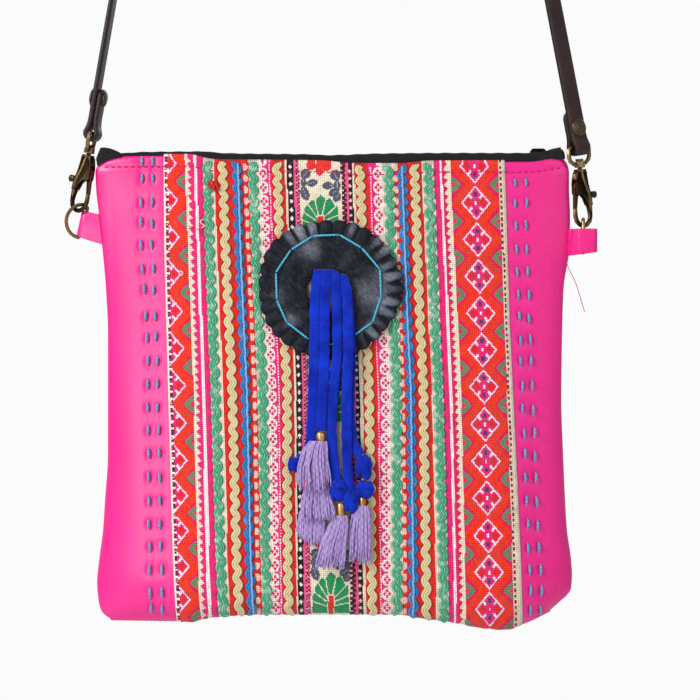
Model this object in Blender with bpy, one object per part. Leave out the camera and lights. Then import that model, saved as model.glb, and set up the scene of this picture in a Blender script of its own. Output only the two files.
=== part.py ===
# Embroidered crossbody pouch hanging from its leather strap.
# Metres, +Z up, the front faces -Y. The origin is the inner top of the strap's arch.

import math
from collections import namedtuple

import bmesh
import bpy
from mathutils import Matrix, Vector

# Pouch
BAG_MIDDLE_X = 0.0060
TOP_EDGE_Z = -0.5530
LEATHER = 0.0015
FRONT_POWER = 4.0
GAP = 0.0003

# Cloth layers on the front
PANEL_THICK = 0.0010
BRAID_THICK = 0.0009
PANEL_LIFT = GAP
BRAID_LIFT = PANEL_LIFT + PANEL_THICK + GAP
OVER_BRAIDS = BRAID_LIFT + BRAID_THICK + GAP

# Zip
COIL_WIDTH = 0.0034
COIL_HEIGHT = 0.0024
COIL_TOP_RISE = 0.0012
TAPE_THICK = 0.0007
TAPE_TUCK = 0.0050
TAPE_LEFT_X = -0.0968
TAPE_RIGHT_X = 0.0990
COIL_LEFT_X = -0.1052
SLIDER_RIGHT_X = 0.1072
SLIDER_LENGTH = 0.0085
SLIDER_HALF = 0.0018

# Rosette
ROSETTE_X = -0.0022
ROSETTE_DROP = 0.0655
ROSETTE_HOLE = 0.0115
ROSETTE_WIDE = 0.0352
ROSETTE_TALL = 0.0328
ROSETTE_THICK = 0.0012
ROSETTE_DOME = 0.0011
SCALLOPS = 24
SCALLOP_DEPTH = 0.0014

# Blue strips, knots, beads, tassels
STRIP_WIDTH = 0.00465
STRIP_THICK = 0.0014
LOCKS = 7

# Strap
STRAP_WIDTH = 0.0100
STRAP_THICK = 0.0026
ARCH_RADIUS = 0.02775
ARCH_STEPS = 14
RUN_STEPS = 12
LOOP_BORE = 0.0016

# Swivel hooks: a runs down the swivel axis from the hook's collar, u towards the gate
EYE_WIRE = 0.0011
EYE_INNER_HALF = 0.0058
EYE_DROP = 0.0088
COLLAR_DROP = 0.01185
COLLAR_RADIUS = 0.0032
COLLAR_HIGH = 0.0014
POST_RADIUS = 0.0012
POST_HEAD = 0.0021
HOOK_WIRE = 0.0012
HOOK_BEND = 0.0048
HOOK_BEND_A = 0.0230
HOOK_TIP_A = 0.0198
CHEEK_THICK = 0.0011
SLOT_HALF = 0.0010
GATE_HALF = 0.0007
GATE_PIVOT_A = 0.0076
GATE_PIVOT_U = 0.0026
PIN_RADIUS = 0.0008

# D-rings and tabs
RING_WIRE = 0.00095
RING_RADIUS = 0.0085
CLAW_PLAY = 0.0008
TAB_THICK = 0.0012

BagRow = namedtuple("BagRow", "drop left right half_depth")
BAG_ROWS = [
    BagRow(0.0000, -0.1119, 0.1144, 0.0066),
    BagRow(0.0035, -0.1189, 0.1174, 0.0069),
    BagRow(0.0075, -0.1207, 0.1184, 0.0072),
    BagRow(0.0160, -0.1204, 0.1184, 0.0079),
    BagRow(0.0295, -0.1189, 0.1189, 0.0088),
    BagRow(0.0445, -0.1174, 0.1187, 0.0098),
    BagRow(0.0670, -0.1154, 0.1156, 0.0112),
    BagRow(0.0900, -0.1144, 0.1149, 0.0125),
    BagRow(0.1230, -0.1144, 0.1145, 0.0141),
    BagRow(0.1500, -0.1144, 0.1154, 0.0153),
    BagRow(0.1730, -0.1159, 0.1164, 0.0162),
    BagRow(0.1885, -0.1169, 0.1174, 0.0167),
    BagRow(0.2035, -0.1189, 0.1194, 0.0169),
    BagRow(0.2130, -0.1199, 0.1199, 0.0164),
    BagRow(0.2210, -0.1192, 0.1192, 0.0144),
    BagRow(0.2265, -0.1174, 0.1150, 0.0108),
    BagRow(0.2300, -0.1130, 0.1085, 0.0056),
]

# How far the bottom edge hangs below the last row, across the width
SagPoint = namedtuple("SagPoint", "x sag")
BOTTOM_SAG = [
    SagPoint(-0.1125, 0.0033), SagPoint(-0.0720, 0.0038), SagPoint(-0.0660, 0.0023),
    SagPoint(-0.0540, 0.0008), SagPoint(-0.0400, 0.0000), SagPoint(0.0310, 0.0000),
    SagPoint(0.0430, 0.0018), SagPoint(0.0610, 0.0043), SagPoint(0.0735, 0.0068),
    SagPoint(0.0855, 0.0078), SagPoint(0.0975, 0.0043), SagPoint(0.1090, -0.0012),
    SagPoint(0.1150, -0.0040),
]

# How far the front's top edge dips below the back's
DipPoint = namedtuple("DipPoint", "x dip")
TOP_DIP = [
    DipPoint(-0.0720, 0.0000), DipPoint(-0.0600, 0.0018), DipPoint(-0.0060, 0.0022),
    DipPoint(0.0080, 0.0042), DipPoint(0.0320, 0.0042), DipPoint(0.0480, 0.0028),
    DipPoint(0.0980, 0.0026), DipPoint(0.1130, 0.0006),
]

PanelRow = namedtuple("PanelRow", "drop left right")
PANEL_ROWS = [
    PanelRow(0.0000, -0.0860, 0.0857),
    PanelRow(0.0460, -0.0854, 0.0869),
    PanelRow(0.0840, -0.0843, 0.0880),
    PanelRow(0.2015, -0.0807, 0.0933),
    PanelRow(0.2300, -0.0792, 0.0945),
]

# Ric-rac braids: width, and the place across the panel, from its left edge 0 to its right
# edge 1, at each of three drops
BRAID_DROPS = (0.0135, 0.1160, 0.2175)
Braid = namedtuple("Braid", "name top middle low width")
BRAIDS = [
    Braid("ricrac_left_1", 0.1292, 0.1373, 0.1366, 0.0050),
    Braid("ricrac_left_2", 0.1747, 0.1868, 0.1831, 0.0052),
    Braid("ricrac_left_3", 0.2158, 0.2254, 0.2197, 0.0048),
    Braid("ricrac_left_4", 0.2623, 0.2743, 0.2645, 0.0056),
    Braid("ricrac_left_5", 0.3338, 0.3457, 0.3273, 0.0052),
    Braid("ricrac_right_1", 0.5759, 0.5827, 0.5680, 0.0052),
    Braid("ricrac_right_2", 0.6589, 0.6625, 0.6404, 0.0056),
    Braid("ricrac_right_3", 0.6989, 0.7035, 0.6870, 0.0048),
    Braid("ricrac_right_4", 0.7350, 0.7399, 0.7238, 0.0052),
    Braid("ricrac_right_5", 0.7765, 0.7834, 0.7746, 0.0050),
]

# The way a suede strip folds over in the rosette's hole and comes down over its rim
FoldPoint = namedtuple("FoldPoint", "drop lift share")
FOLD = [
    FoldPoint(0.0620, 0.0026, 0.00), FoldPoint(0.0608, 0.0027, 0.00),
    FoldPoint(0.0596, 0.0034, 0.00), FoldPoint(0.0585, 0.0044, 0.00),
    FoldPoint(0.0581, 0.0051, 0.00), FoldPoint(0.0585, 0.0057, 0.03),
    FoldPoint(0.0602, 0.0060, 0.10), FoldPoint(0.0650, 0.0061, 0.40),
    FoldPoint(0.0720, 0.0063, 0.72), FoldPoint(0.0765, 0.0066, 0.82),
    FoldPoint(0.0880, 0.0067, 0.92), FoldPoint(0.0990, 0.0064, 1.00),
]
FOLD_PINCH = 0.88

# Suede strips: x from the pouch's middle line, drop below the top edge, lift off the leather
StripPoint = namedtuple("StripPoint", "x drop lift")
FrontStrip = namedtuple("FrontStrip", "name x_top x_rim lower extra tail")
STRIPS = [
    FrontStrip("suede_strip_1", -0.00825, -0.0100, 0.0, 0.0, [
        StripPoint(-0.0104, 0.1120, 0.0054), StripPoint(-0.0116, 0.1360, 0.0040),
        StripPoint(-0.0128, 0.1430, 0.0038), StripPoint(-0.0160, 0.1480, 0.0037),
        StripPoint(-0.0185, 0.1505, 0.0037)]),
    FrontStrip("suede_strip_2", -0.0038, -0.0049, 0.0, 0.0, [
        StripPoint(-0.0053, 0.1120, 0.0056), StripPoint(-0.0064, 0.1300, 0.0052),
        StripPoint(-0.0068, 0.1380, 0.0052)]),
    FrontStrip("suede_strip_3", 0.00065, 0.0016, 0.0008, 0.0, [
        StripPoint(0.0002, 0.1120, 0.0054), StripPoint(-0.0014, 0.1365, 0.0042),
        StripPoint(-0.0006, 0.1520, 0.0044), StripPoint(0.0008, 0.1610, 0.0050)]),
    FrontStrip("suede_strip_4", 0.0052, 0.0070, 0.0030, 0.0018, [
        StripPoint(0.0064, 0.1120, 0.0076), StripPoint(0.0061, 0.1365, 0.0062),
        StripPoint(0.0066, 0.1560, 0.0058), StripPoint(0.0078, 0.1665, 0.0056)]),
]
LOWER_STRIP = [
    StripPoint(0.0068, 0.0708, 0.0058), StripPoint(0.0069, 0.0750, 0.0061),
    StripPoint(0.0074, 0.0830, 0.0064), StripPoint(0.0079, 0.0910, 0.0062),
    StripPoint(0.0082, 0.0990, 0.0058), StripPoint(0.0084, 0.1120, 0.0054),
    StripPoint(0.0092, 0.1365, 0.0040), StripPoint(0.0138, 0.1472, 0.0050),
]

Lump = namedtuple("Lump", "name x drop lift wide tall deep")
KNOTS = [
    Lump("strip_knot_1", -0.0205, 0.1545, 0.0049, 0.0048, 0.0084, 0.0044),
    Lump("strip_knot_2", 0.0018, 0.1672, 0.0062, 0.0070, 0.0108, 0.0060),
    Lump("strip_knot_3", 0.0142, 0.1546, 0.0056, 0.0074, 0.0142, 0.0054),
    Lump("strip_knot_4", 0.0152, 0.1660, 0.0058, 0.0080, 0.0086, 0.0058),
    Lump("strip_knot_5", 0.0080, 0.1722, 0.0062, 0.0064, 0.0098, 0.0060),
]
BEADS = [
    Lump("brass_bead_1", -0.0068, 0.1406, 0.0054, 0.0042, 0.0045, 0.0042),
    Lump("brass_bead_2", 0.0030, 0.1766, 0.0058, 0.0040, 0.0062, 0.0040),
    Lump("brass_bead_3", 0.0142, 0.1728, 0.0052, 0.0030, 0.0038, 0.0030),
]

# Tassels: a row for each level, from the tied head to the cut ends
TasselRow = namedtuple("TasselRow", "x drop lift wide deep")
TASSELS = {
    "tassel_1": [
        TasselRow(-0.0080, 0.1432, 0.0062, 0.0050, 0.0026),
        TasselRow(-0.0092, 0.1475, 0.0068, 0.0096, 0.0034),
        TasselRow(-0.0098, 0.1560, 0.0080, 0.0136, 0.0040),
        TasselRow(-0.0101, 0.1675, 0.0088, 0.0168, 0.0042),
    ],
    "tassel_2": [
        TasselRow(-0.0084, 0.1640, 0.0044, 0.0052, 0.0024),
        TasselRow(-0.0086, 0.1700, 0.0052, 0.0108, 0.0030),
        TasselRow(-0.0086, 0.1760, 0.0072, 0.0150, 0.0034),
        TasselRow(-0.0080, 0.1812, 0.0084, 0.0168, 0.0036),
    ],
    "tassel_3": [
        TasselRow(-0.0104, 0.1752, 0.0041, 0.0050, 0.0020),
        TasselRow(-0.0110, 0.1800, 0.0042, 0.0100, 0.0022),
        TasselRow(-0.0118, 0.1870, 0.0044, 0.0128, 0.0026),
        TasselRow(-0.0122, 0.1938, 0.0044, 0.0140, 0.0026),
    ],
    "tassel_4": [
        TasselRow(0.0032, 0.1801, 0.0058, 0.0044, 0.0034),
        TasselRow(0.0024, 0.1855, 0.0068, 0.0084, 0.0036),
        TasselRow(-0.0002, 0.1945, 0.0081, 0.0120, 0.0036),
        TasselRow(-0.0026, 0.2048, 0.0082, 0.0150, 0.0036),
    ],
    "tassel_5": [
        TasselRow(0.0141, 0.1752, 0.0052, 0.0038, 0.0030),
        TasselRow(0.0140, 0.1800, 0.0056, 0.0070, 0.0040),
        TasselRow(0.0134, 0.1900, 0.0060, 0.0094, 0.0048),
        TasselRow(0.0122, 0.2022, 0.0062, 0.0108, 0.0050),
    ],
}

# Strap ends: loop is the bar that the eye turns on, lean tilts the hook, turn is the strap's twist
StrapEnd = namedtuple("StrapEnd", "side loop_x loop_z run_lean hook_lean twist tail rivet grip tab_half tab_shift")
LEFT_END = StrapEnd("left", -0.1161, -0.5412, 9.76, 11.0, 8.0, 0.0225, 0.0180, 64.0, 0.0063, 0.0010)
RIGHT_END = StrapEnd("right", 0.1292, -0.5482, 10.65, 3.6, 52.0, 0.0185, 0.0098, 76.0, 0.0053, 0.0016)
HOOK_YAW = 35.0

COLOURS = {
    "pink_leather": ((0.86, 0.06, 0.38), 0.38, 0.0),
    "embroidery": ((0.78, 0.12, 0.18), 0.85, 0.0),
    "braid": ((0.55, 0.62, 0.42), 0.8, 0.0),
    "black_tape": ((0.02, 0.02, 0.025), 0.8, 0.0),
    "dark_leather": ((0.03, 0.04, 0.07), 0.55, 0.0),
    "blue_suede": ((0.04, 0.09, 0.55), 0.9, 0.0),
    "lilac_thread": ((0.55, 0.42, 0.72), 0.8, 0.0),
    "strap_leather": ((0.09, 0.045, 0.04), 0.45, 0.0),
    "antique_brass": ((0.36, 0.27, 0.16), 0.4, 1.0),
}


def between(rows, column, key, value):
    """Straight interpolation of one named column of a table."""
    if value <= getattr(rows[0], key):
        return getattr(rows[0], column)
    for low, high in zip(rows, rows[1:]):
        start, end = getattr(low, key), getattr(high, key)
        if value <= end:
            share = (value - start) / (end - start)
            return getattr(low, column) * (1 - share) + getattr(high, column) * share
    return getattr(rows[-1], column)


def smooth(low, high, value):
    share = min(max((value - low) / (high - low), 0.0), 1.0)
    return share * share * (3 - 2 * share)


def pouch_point(x, drop, side, inset=0.0):
    """A point of the pouch's wall: x from the middle line, side -1 front and +1 back."""
    left = between(BAG_ROWS, "left", "drop", drop) + inset
    right = between(BAG_ROWS, "right", "drop", drop) - inset
    half_depth = between(BAG_ROWS, "half_depth", "drop", drop) - inset
    across = (x - (left + right) / 2) / ((right - left) / 2)
    depth = half_depth * math.sqrt(max(0.0, 1 - abs(across) ** FRONT_POWER))
    sag = between(BOTTOM_SAG, "sag", "x", x) * smooth(0.195, 0.230, drop)
    dip = between(TOP_DIP, "dip", "x", x) * (1 - smooth(0.0, 0.030, drop))
    if side > 0:
        dip = 0.0
    return Vector((BAG_MIDDLE_X + x, side * depth, TOP_EDGE_Z - drop - sag - dip))


def on_front(x, drop, lift):
    """A point that stands off the front of the pouch by lift."""
    step = 0.0012
    last = BAG_ROWS[-1].drop
    low, high = max(drop - step, 0.0), min(drop + step, last)
    along_x = pouch_point(x + step, drop, -1) - pouch_point(x - step, drop, -1)
    along_drop = pouch_point(x, high, -1) - pouch_point(x, low, -1)
    outward = along_drop.cross(along_x).normalized()
    if outward.y > 0:
        outward.negate()
    return pouch_point(x, drop, -1) + outward * lift


def new_material(name):
    colour, roughness, metallic = COLOURS[name]
    found = bpy.data.materials.get(name) or bpy.data.materials.new(name)
    found.use_nodes = True
    shader = found.node_tree.nodes["Principled BSDF"]
    shader.inputs["Base Color"].default_value = (*colour, 1.0)
    shader.inputs["Roughness"].default_value = roughness
    shader.inputs["Metallic"].default_value = metallic
    return found


def finish_mesh(name, bm, material, sharp_degrees=35.0):
    """Turns a bmesh into a named object with its material, shaded smooth."""
    bmesh.ops.recalc_face_normals(bm, faces=bm.faces)
    mesh = bpy.data.meshes.new(name)
    bm.to_mesh(mesh)
    bm.free()
    mesh.shade_smooth()
    mesh.set_sharp_from_angle(angle=math.radians(sharp_degrees))
    mesh.materials.append(new_material(material))
    made = bpy.data.objects.new(name, mesh)
    bpy.context.scene.collection.objects.link(made)
    return made


def skin_rings(bm, rings, cap_start=True, cap_end=True, round_trip=False):
    """Joins rings of points, each as long as the next, into a skin."""
    made = [[bm.verts.new(p) for p in ring] for ring in rings]
    count = len(made[0])
    pairs = list(zip(made, made[1:]))
    if round_trip:
        pairs.append((made[-1], made[0]))
    for first, second in pairs:
        for i in range(count):
            j = (i + 1) % count
            bm.faces.new((first[i], first[j], second[j], second[i]))
    if cap_start and not round_trip:
        bm.faces.new(reversed(made[0]))
    if cap_end and not round_trip:
        bm.faces.new(made[-1])
    return made


def ribbon(bm, centres, width_ways, width, thick, end_shares=()):
    """A flat strip through centres. width_ways holds each station's width direction."""
    rings = []
    last = len(centres) - 1
    for i, (centre, across) in enumerate(zip(centres, width_ways)):
        along = (centres[min(i + 1, last)] - centres[max(i - 1, 0)]).normalized()
        flat = along.cross(across).normalized()
        share = dict(end_shares).get(i, 1.0)
        half = across.normalized() * width * share / 2
        up = flat * thick / 2
        rings.append([centre - half - up, centre + half - up, centre + half + up, centre - half + up])
    skin_rings(bm, rings)


def tube(bm, centres, radii, sides, side_way, closed=False):
    """A round wire through centres, kept untwisted by side_way."""
    rings = []
    count = len(centres)
    for i, (centre, radius) in enumerate(zip(centres, radii)):
        if closed:
            along = centres[(i + 1) % count] - centres[i - 1]
        else:
            along = centres[min(i + 1, count - 1)] - centres[max(i - 1, 0)]
        along.normalize()
        first = along.cross(side_way).normalized()
        second = along.cross(first).normalized()
        rings.append([
            centre + first * radius * math.cos(2 * math.pi * k / sides)
            + second * radius * math.sin(2 * math.pi * k / sides)
            for k in range(sides)
        ])
    skin_rings(bm, rings, round_trip=closed)


def cylinder(bm, base, way, radius, length, sides, top_radius=None):
    """A round bar from base along way."""
    way = way.normalized()
    turn = Vector((0, 0, 1)).rotation_difference(way).to_matrix().to_4x4()
    place = Matrix.Translation(base + way * length / 2) @ turn
    bmesh.ops.create_cone(
        bm, cap_ends=True, cap_tris=False, segments=sides, radius1=radius,
        radius2=radius if top_radius is None else top_radius, depth=length, matrix=place)


def hide_tool(tool):
    tool.hide_render = True
    tool.display_type = "WIRE"


def combine(base, others, operation):
    """A Boolean of base with each of the others, which stay as hidden tools."""
    for other in others:
        hide_tool(other)
        step = base.modifiers.new(other.name, "BOOLEAN")
        step.operation = operation
        step.solver = "EXACT"
        step.object = other


def pouch_columns(drop, inset):
    """Places across the front: the two margins' columns and the panel's between them."""
    left = between(BAG_ROWS, "left", "drop", drop) + inset
    right = between(BAG_ROWS, "right", "drop", drop) - inset
    panel_left = between(PANEL_ROWS, "left", "drop", drop)
    panel_right = between(PANEL_ROWS, "right", "drop", drop)
    margin = (0.0, 0.04, 0.13, 0.32, 0.62)
    steps = 8
    places = [left + share * (panel_left - left) for share in margin]
    places += [panel_left + (panel_right - panel_left) * i / steps for i in range(steps + 1)]
    places += [right + share * (panel_right - right) for share in reversed(margin)]
    return places


def pouch_ring(drop, inset):
    places = pouch_columns(drop, inset)
    front = [pouch_point(x, drop, -1, inset) for x in places]
    back = [pouch_point(x, drop, 1, inset) for x in reversed(places[1:-1])]
    return front + back


def close_bottom(bm, ring):
    """Strips from the front's edge to the back's under the pouch."""
    count = len(ring)
    half = count // 2
    for i in range(half):
        corners = [ring[i], ring[i + 1], ring[(count - i - 1) % count], ring[(count - i) % count]]
        unique = []
        for corner in corners:
            if corner not in unique:
                unique.append(corner)
        bm.faces.new(unique)


def make_bag_body():
    bm = bmesh.new()
    floor_share = (BAG_ROWS[-1].drop - LEATHER) / BAG_ROWS[-1].drop
    outer = skin_rings(bm, [pouch_ring(row.drop, 0.0) for row in BAG_ROWS], False, False)
    inner_rings = []
    for row in BAG_ROWS:
        ring = pouch_ring(row.drop, LEATHER)
        for point in ring:
            point.z += row.drop * (1 - floor_share)
        inner_rings.append(ring)
    inner = skin_rings(bm, inner_rings, False, False)
    count = len(outer[0])
    for i in range(count):
        j = (i + 1) % count
        bm.faces.new((outer[0][i], outer[0][j], inner[0][j], inner[0][i]))
    close_bottom(bm, outer[-1])
    close_bottom(bm, inner[-1])
    return finish_mesh("bag_body", bm, "pink_leather", 50.0)


def sheet_between(bm, low_rows, high_rows):
    """A closed sheet from two grids of points of the same size."""
    low = [[bm.verts.new(p) for p in row] for row in low_rows]
    high = [[bm.verts.new(p) for p in row] for row in high_rows]
    rows, columns = len(low), len(low[0])
    for i in range(rows - 1):
        for j in range(columns - 1):
            bm.faces.new((low[i][j], low[i][j + 1], low[i + 1][j + 1], low[i + 1][j]))
            bm.faces.new((high[i][j], high[i + 1][j], high[i + 1][j + 1], high[i][j + 1]))
    edge = [(0, j) for j in range(columns)]
    edge += [(i, columns - 1) for i in range(1, rows)]
    edge += [(rows - 1, j) for j in range(columns - 2, -1, -1)]
    edge += [(i, 0) for i in range(rows - 2, 0, -1)]
    for (a, b), (c, d) in zip(edge, edge[1:] + edge[:1]):
        bm.faces.new((low[a][b], high[a][b], high[c][d], low[c][d]))


def front_grid(columns_at, drops, lift):
    return [[on_front(x, drop, lift) for x in columns_at(drop)] for drop in drops]


def make_panel():
    def columns_at(drop):
        return pouch_columns(drop, 0.0)[5:-5]
    drops = [row.drop for row in BAG_ROWS]
    bm = bmesh.new()
    sheet_between(
        bm, front_grid(columns_at, drops, PANEL_LIFT),
        front_grid(columns_at, drops, PANEL_LIFT + PANEL_THICK))
    return finish_mesh("embroidered_panel", bm, "embroidery")


def braid_place(braid, drop):
    start, centre, end = BRAID_DROPS
    if drop < centre:
        share = (drop - start) / (centre - start)
        return braid.top + (braid.middle - braid.top) * share
    share = (drop - centre) / (end - centre)
    return braid.middle + (braid.low - braid.middle) * share


def make_braid(braid):
    def columns_at(drop):
        panel_left = between(PANEL_ROWS, "left", "drop", drop)
        panel_right = between(PANEL_ROWS, "right", "drop", drop)
        middle = panel_left + braid_place(braid, drop) * (panel_right - panel_left)
        return [middle - braid.width / 2, middle + braid.width / 2]
    drops = [max(row.drop, 0.0010) for row in BAG_ROWS[:-1] if row.drop != 0.0035]
    bm = bmesh.new()
    sheet_between(
        bm, front_grid(columns_at, drops, BRAID_LIFT),
        front_grid(columns_at, drops, BRAID_LIFT + BRAID_THICK))
    return finish_mesh(braid.name, bm, "braid")


def mouth_inner(x, side):
    """The inner top edge of the front or back wall at x."""
    return pouch_point(x, 0.0, side, LEATHER)


def make_zip_tape(name, side):
    """Tape from inside the mouth, up past the leather's edge and in to the coil."""
    stations = 12
    coil_z = TOP_EDGE_Z + COIL_TOP_RISE - COIL_HEIGHT / 2
    rings = []
    for i in range(stations + 1):
        x = TAPE_LEFT_X + (TAPE_RIGHT_X - TAPE_LEFT_X) * i / stations
        wall = mouth_inner(x, side)
        y_out = abs(wall.y) - GAP
        y_in = COIL_WIDTH / 2 + GAP
        rise = wall.z + 0.0006
        outline = [
            (y_out, wall.z - TAPE_TUCK), (y_out, rise), (y_in + TAPE_THICK, coil_z + 0.0010),
            (y_in, coil_z + 0.0010), (y_in, coil_z - 0.0002),
            (y_out - TAPE_THICK, rise - 0.0012), (y_out - TAPE_THICK, wall.z - TAPE_TUCK),
        ]
        rings.append([Vector((BAG_MIDDLE_X + x, side * y, z)) for y, z in outline])
    bm = bmesh.new()
    skin_rings(bm, rings)
    return finish_mesh(name, bm, "black_tape")


def make_zip_coil():
    stations = 12
    sides = 8
    centre_z = TOP_EDGE_Z + COIL_TOP_RISE - COIL_HEIGHT / 2
    coil_right = SLIDER_RIGHT_X - SLIDER_LENGTH - GAP
    rings = []
    for i in range(stations + 1):
        x = COIL_LEFT_X + (coil_right - COIL_LEFT_X) * i / stations
        rings.append([
            Vector((BAG_MIDDLE_X + x,
                    COIL_WIDTH / 2 * math.cos(2 * math.pi * (k + 0.5) / sides),
                    centre_z + COIL_HEIGHT / 2 * math.sin(2 * math.pi * (k + 0.5) / sides)))
            for k in range(sides)
        ])
    bm = bmesh.new()
    skin_rings(bm, rings)
    return finish_mesh("zip_coil", bm, "black_tape")


def lump_prism(bm, outline, half_depths):
    """An outline in X and Z carried through the depth, narrowed at its two faces."""
    middle_x = sum(x for x, z in outline) / len(outline)
    middle_z = sum(z for x, z in outline) / len(outline)
    rings = []
    for depth, share in half_depths:
        rings.append([
            Vector((middle_x + (x - middle_x) * share, depth, middle_z + (z - middle_z) * share))
            for x, z in outline
        ])
    skin_rings(bm, rings)


def make_zip_ends():
    """The folded ends of the tape, one standing over each top corner."""
    left = [(-0.1203, 0.0004), (-0.1180, 0.0046), (-0.1138, 0.0048), (-0.1080, 0.0022),
            (-0.1056, 0.0010), (-0.1060, 0.0004), (-0.1122, 0.0004), (-0.1166, -0.0012),
            (-0.1197, -0.0030)]
    right = [(0.1084, 0.0030), (0.1110, 0.0040), (0.1146, 0.0040), (0.1163, 0.0022),
             (0.1164, 0.0002), (0.1148, 0.0004), (0.1110, 0.0005), (0.1084, 0.0005)]
    depths = [(-0.0034, 0.72), (-0.0024, 1.0), (0.0024, 1.0), (0.0034, 0.72)]
    made = []
    for name, outline in (("zip_end_left", left), ("zip_end_right", right)):
        bm = bmesh.new()
        placed = [(BAG_MIDDLE_X + x, TOP_EDGE_Z + z) for x, z in outline]
        lump_prism(bm, placed, depths)
        made.append(finish_mesh(name, bm, "black_tape"))
    return made


def make_zip_slider():
    """Slider at the closed end of the zip."""
    start = BAG_MIDDLE_X + SLIDER_RIGHT_X - SLIDER_LENGTH
    low = TOP_EDGE_Z + COIL_TOP_RISE - COIL_HEIGHT
    bm = bmesh.new()
    body = [(start, low), (start, low + 0.0042), (start + 0.0012, low + 0.0054),
            (start + 0.0070, low + 0.0054), (start + SLIDER_LENGTH, low + 0.0040),
            (start + SLIDER_LENGTH, low)]
    lump_prism(bm, body, [
        (-SLIDER_HALF, 0.9), (-SLIDER_HALF + 0.0005, 1.0), (SLIDER_HALF - 0.0005, 1.0), (SLIDER_HALF, 0.9)])
    return finish_mesh("zip_slider", bm, "black_tape")


def rosette_point(turn, share, lift):
    """share runs from the hole, 0, to the scalloped edge, 1."""
    scallop = SCALLOP_DEPTH * (abs(math.cos(SCALLOPS * turn / 2)) - 0.5)
    ruffle = 0.0006 * math.sin(3 * turn + 0.6) + 0.0005 * math.sin(5 * turn + 2.0)
    wide = ROSETTE_WIDE + ruffle + scallop
    tall = ROSETTE_TALL + ruffle + scallop
    reach_x = ROSETTE_HOLE + (wide - ROSETTE_HOLE) * share
    reach_z = ROSETTE_HOLE + (tall - ROSETTE_HOLE) * share
    x = ROSETTE_X + reach_x * math.cos(turn)
    drop = ROSETTE_DROP - reach_z * math.sin(turn)
    return on_front(x, drop, lift)


def make_rosette():
    """Soft leather ring with a cut scalloped edge, domed between its hole and its edge."""
    around = SCALLOPS * 2
    levels = (0.0, 0.45, 1.0)
    rings = []
    for i in range(around):
        turn = 2 * math.pi * i / around
        wave = 0.0005 * math.sin(4 * turn - 1.2) + 0.0004 * math.sin(7 * turn + 2.2)
        wave *= (1 + math.sin(turn)) / 2
        ring = []
        for lift_more, ordered in ((0.0, levels), (ROSETTE_THICK, tuple(reversed(levels)))):
            for share in ordered:
                dome = (ROSETTE_DOME + wave) * math.sin(math.pi * min(share * 1.05, 1.0))
                lift = OVER_BRAIDS + lift_more + max(dome, 0.0)
                ring.append(rosette_point(turn, share, lift))
        rings.append(ring)
    bm = bmesh.new()
    skin_rings(bm, rings, round_trip=True)
    return finish_mesh("rosette", bm, "dark_leather", 60.0)


def fold_path(strip):
    """Stations of a strip that folds over inside the rosette's hole and hangs over its rim."""
    centres = []
    for point in FOLD:
        x = strip.x_top + (strip.x_rim - strip.x_top) * point.share
        drop = point.drop + strip.lower * (1 - point.share)
        lift = point.lift + strip.extra * min(1.0, point.share / 0.4)
        centres.append(on_front(x, drop, lift))
    return centres


def make_strip(name, centres, pinch):
    """pinch holds the width share of each station that is narrower than the strip."""
    across = Vector((1, 0, 0))
    ways = []
    last = len(centres) - 1
    for i in range(len(centres)):
        along = (centres[min(i + 1, last)] - centres[max(i - 1, 0)]).normalized()
        ways.append((across - along * across.dot(along)).normalized())
    bm = bmesh.new()
    ribbon(bm, centres, ways, STRIP_WIDTH, STRIP_THICK, pinch)
    return finish_mesh(name, bm, "blue_suede")


def make_strips():
    pinch = {i: FOLD_PINCH for i, point in enumerate(FOLD) if point.share < 0.2}
    for strip in STRIPS:
        centres = fold_path(strip) + [on_front(p.x, p.drop, p.lift) for p in strip.tail]
        make_strip(strip.name, centres, pinch)
    make_strip("suede_strip_5", [on_front(p.x, p.drop, p.lift) for p in LOWER_STRIP], {})


def make_knot(knot):
    bm = bmesh.new()
    bmesh.ops.create_icosphere(bm, subdivisions=2, radius=0.5)
    for vert in bm.verts:
        twist = 1 + 0.10 * math.sin(5.0 * vert.co.z / 0.5 + 4 * math.atan2(vert.co.y, vert.co.x))
        vert.co.x *= knot.wide * twist
        vert.co.y *= knot.deep * twist
        vert.co.z *= knot.tall
        vert.co += on_front(knot.x, knot.drop, knot.lift)
    return finish_mesh(knot.name, bm, "blue_suede", 60.0)


def make_bead(bead):
    sides = 10
    centre = on_front(bead.x, bead.drop, bead.lift)
    rings = []
    for level, share in ((-0.5, 0.62), (-0.28, 0.95), (0.28, 0.95), (0.5, 0.62)):
        rings.append([
            centre + Vector((
                bead.wide / 2 * share * math.cos(2 * math.pi * k / sides),
                bead.deep / 2 * share * math.sin(2 * math.pi * k / sides),
                bead.tall * level))
            for k in range(sides)
        ])
    bm = bmesh.new()
    skin_rings(bm, rings)
    return finish_mesh(bead.name, bm, "antique_brass")


def make_tassel(name, rows):
    """Thread locks gathered at a tied head, ridged along their length, with uneven ends."""
    points = LOCKS * 2
    rings = []
    for level, row in enumerate(rows):
        ring = []
        ridge = 0.10 if level else 0.0
        for k in range(points):
            turn = 2 * math.pi * k / points
            share = 1 + (ridge if k % 2 == 0 else -ridge)
            x = row.x + row.wide / 2 * share * math.cos(turn)
            lift = row.lift + row.deep / 2 * share * math.sin(turn)
            drop = row.drop
            if level == len(rows) - 1:
                drop += 0.0009 * math.sin(3.0 * k + len(name)) - 0.0006 * (k % 2)
            ring.append(on_front(x, drop, lift))
        rings.append(ring)
    bm = bmesh.new()
    skin_rings(bm, rings)
    return finish_mesh(name, bm, "lilac_thread", 60.0)


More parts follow.
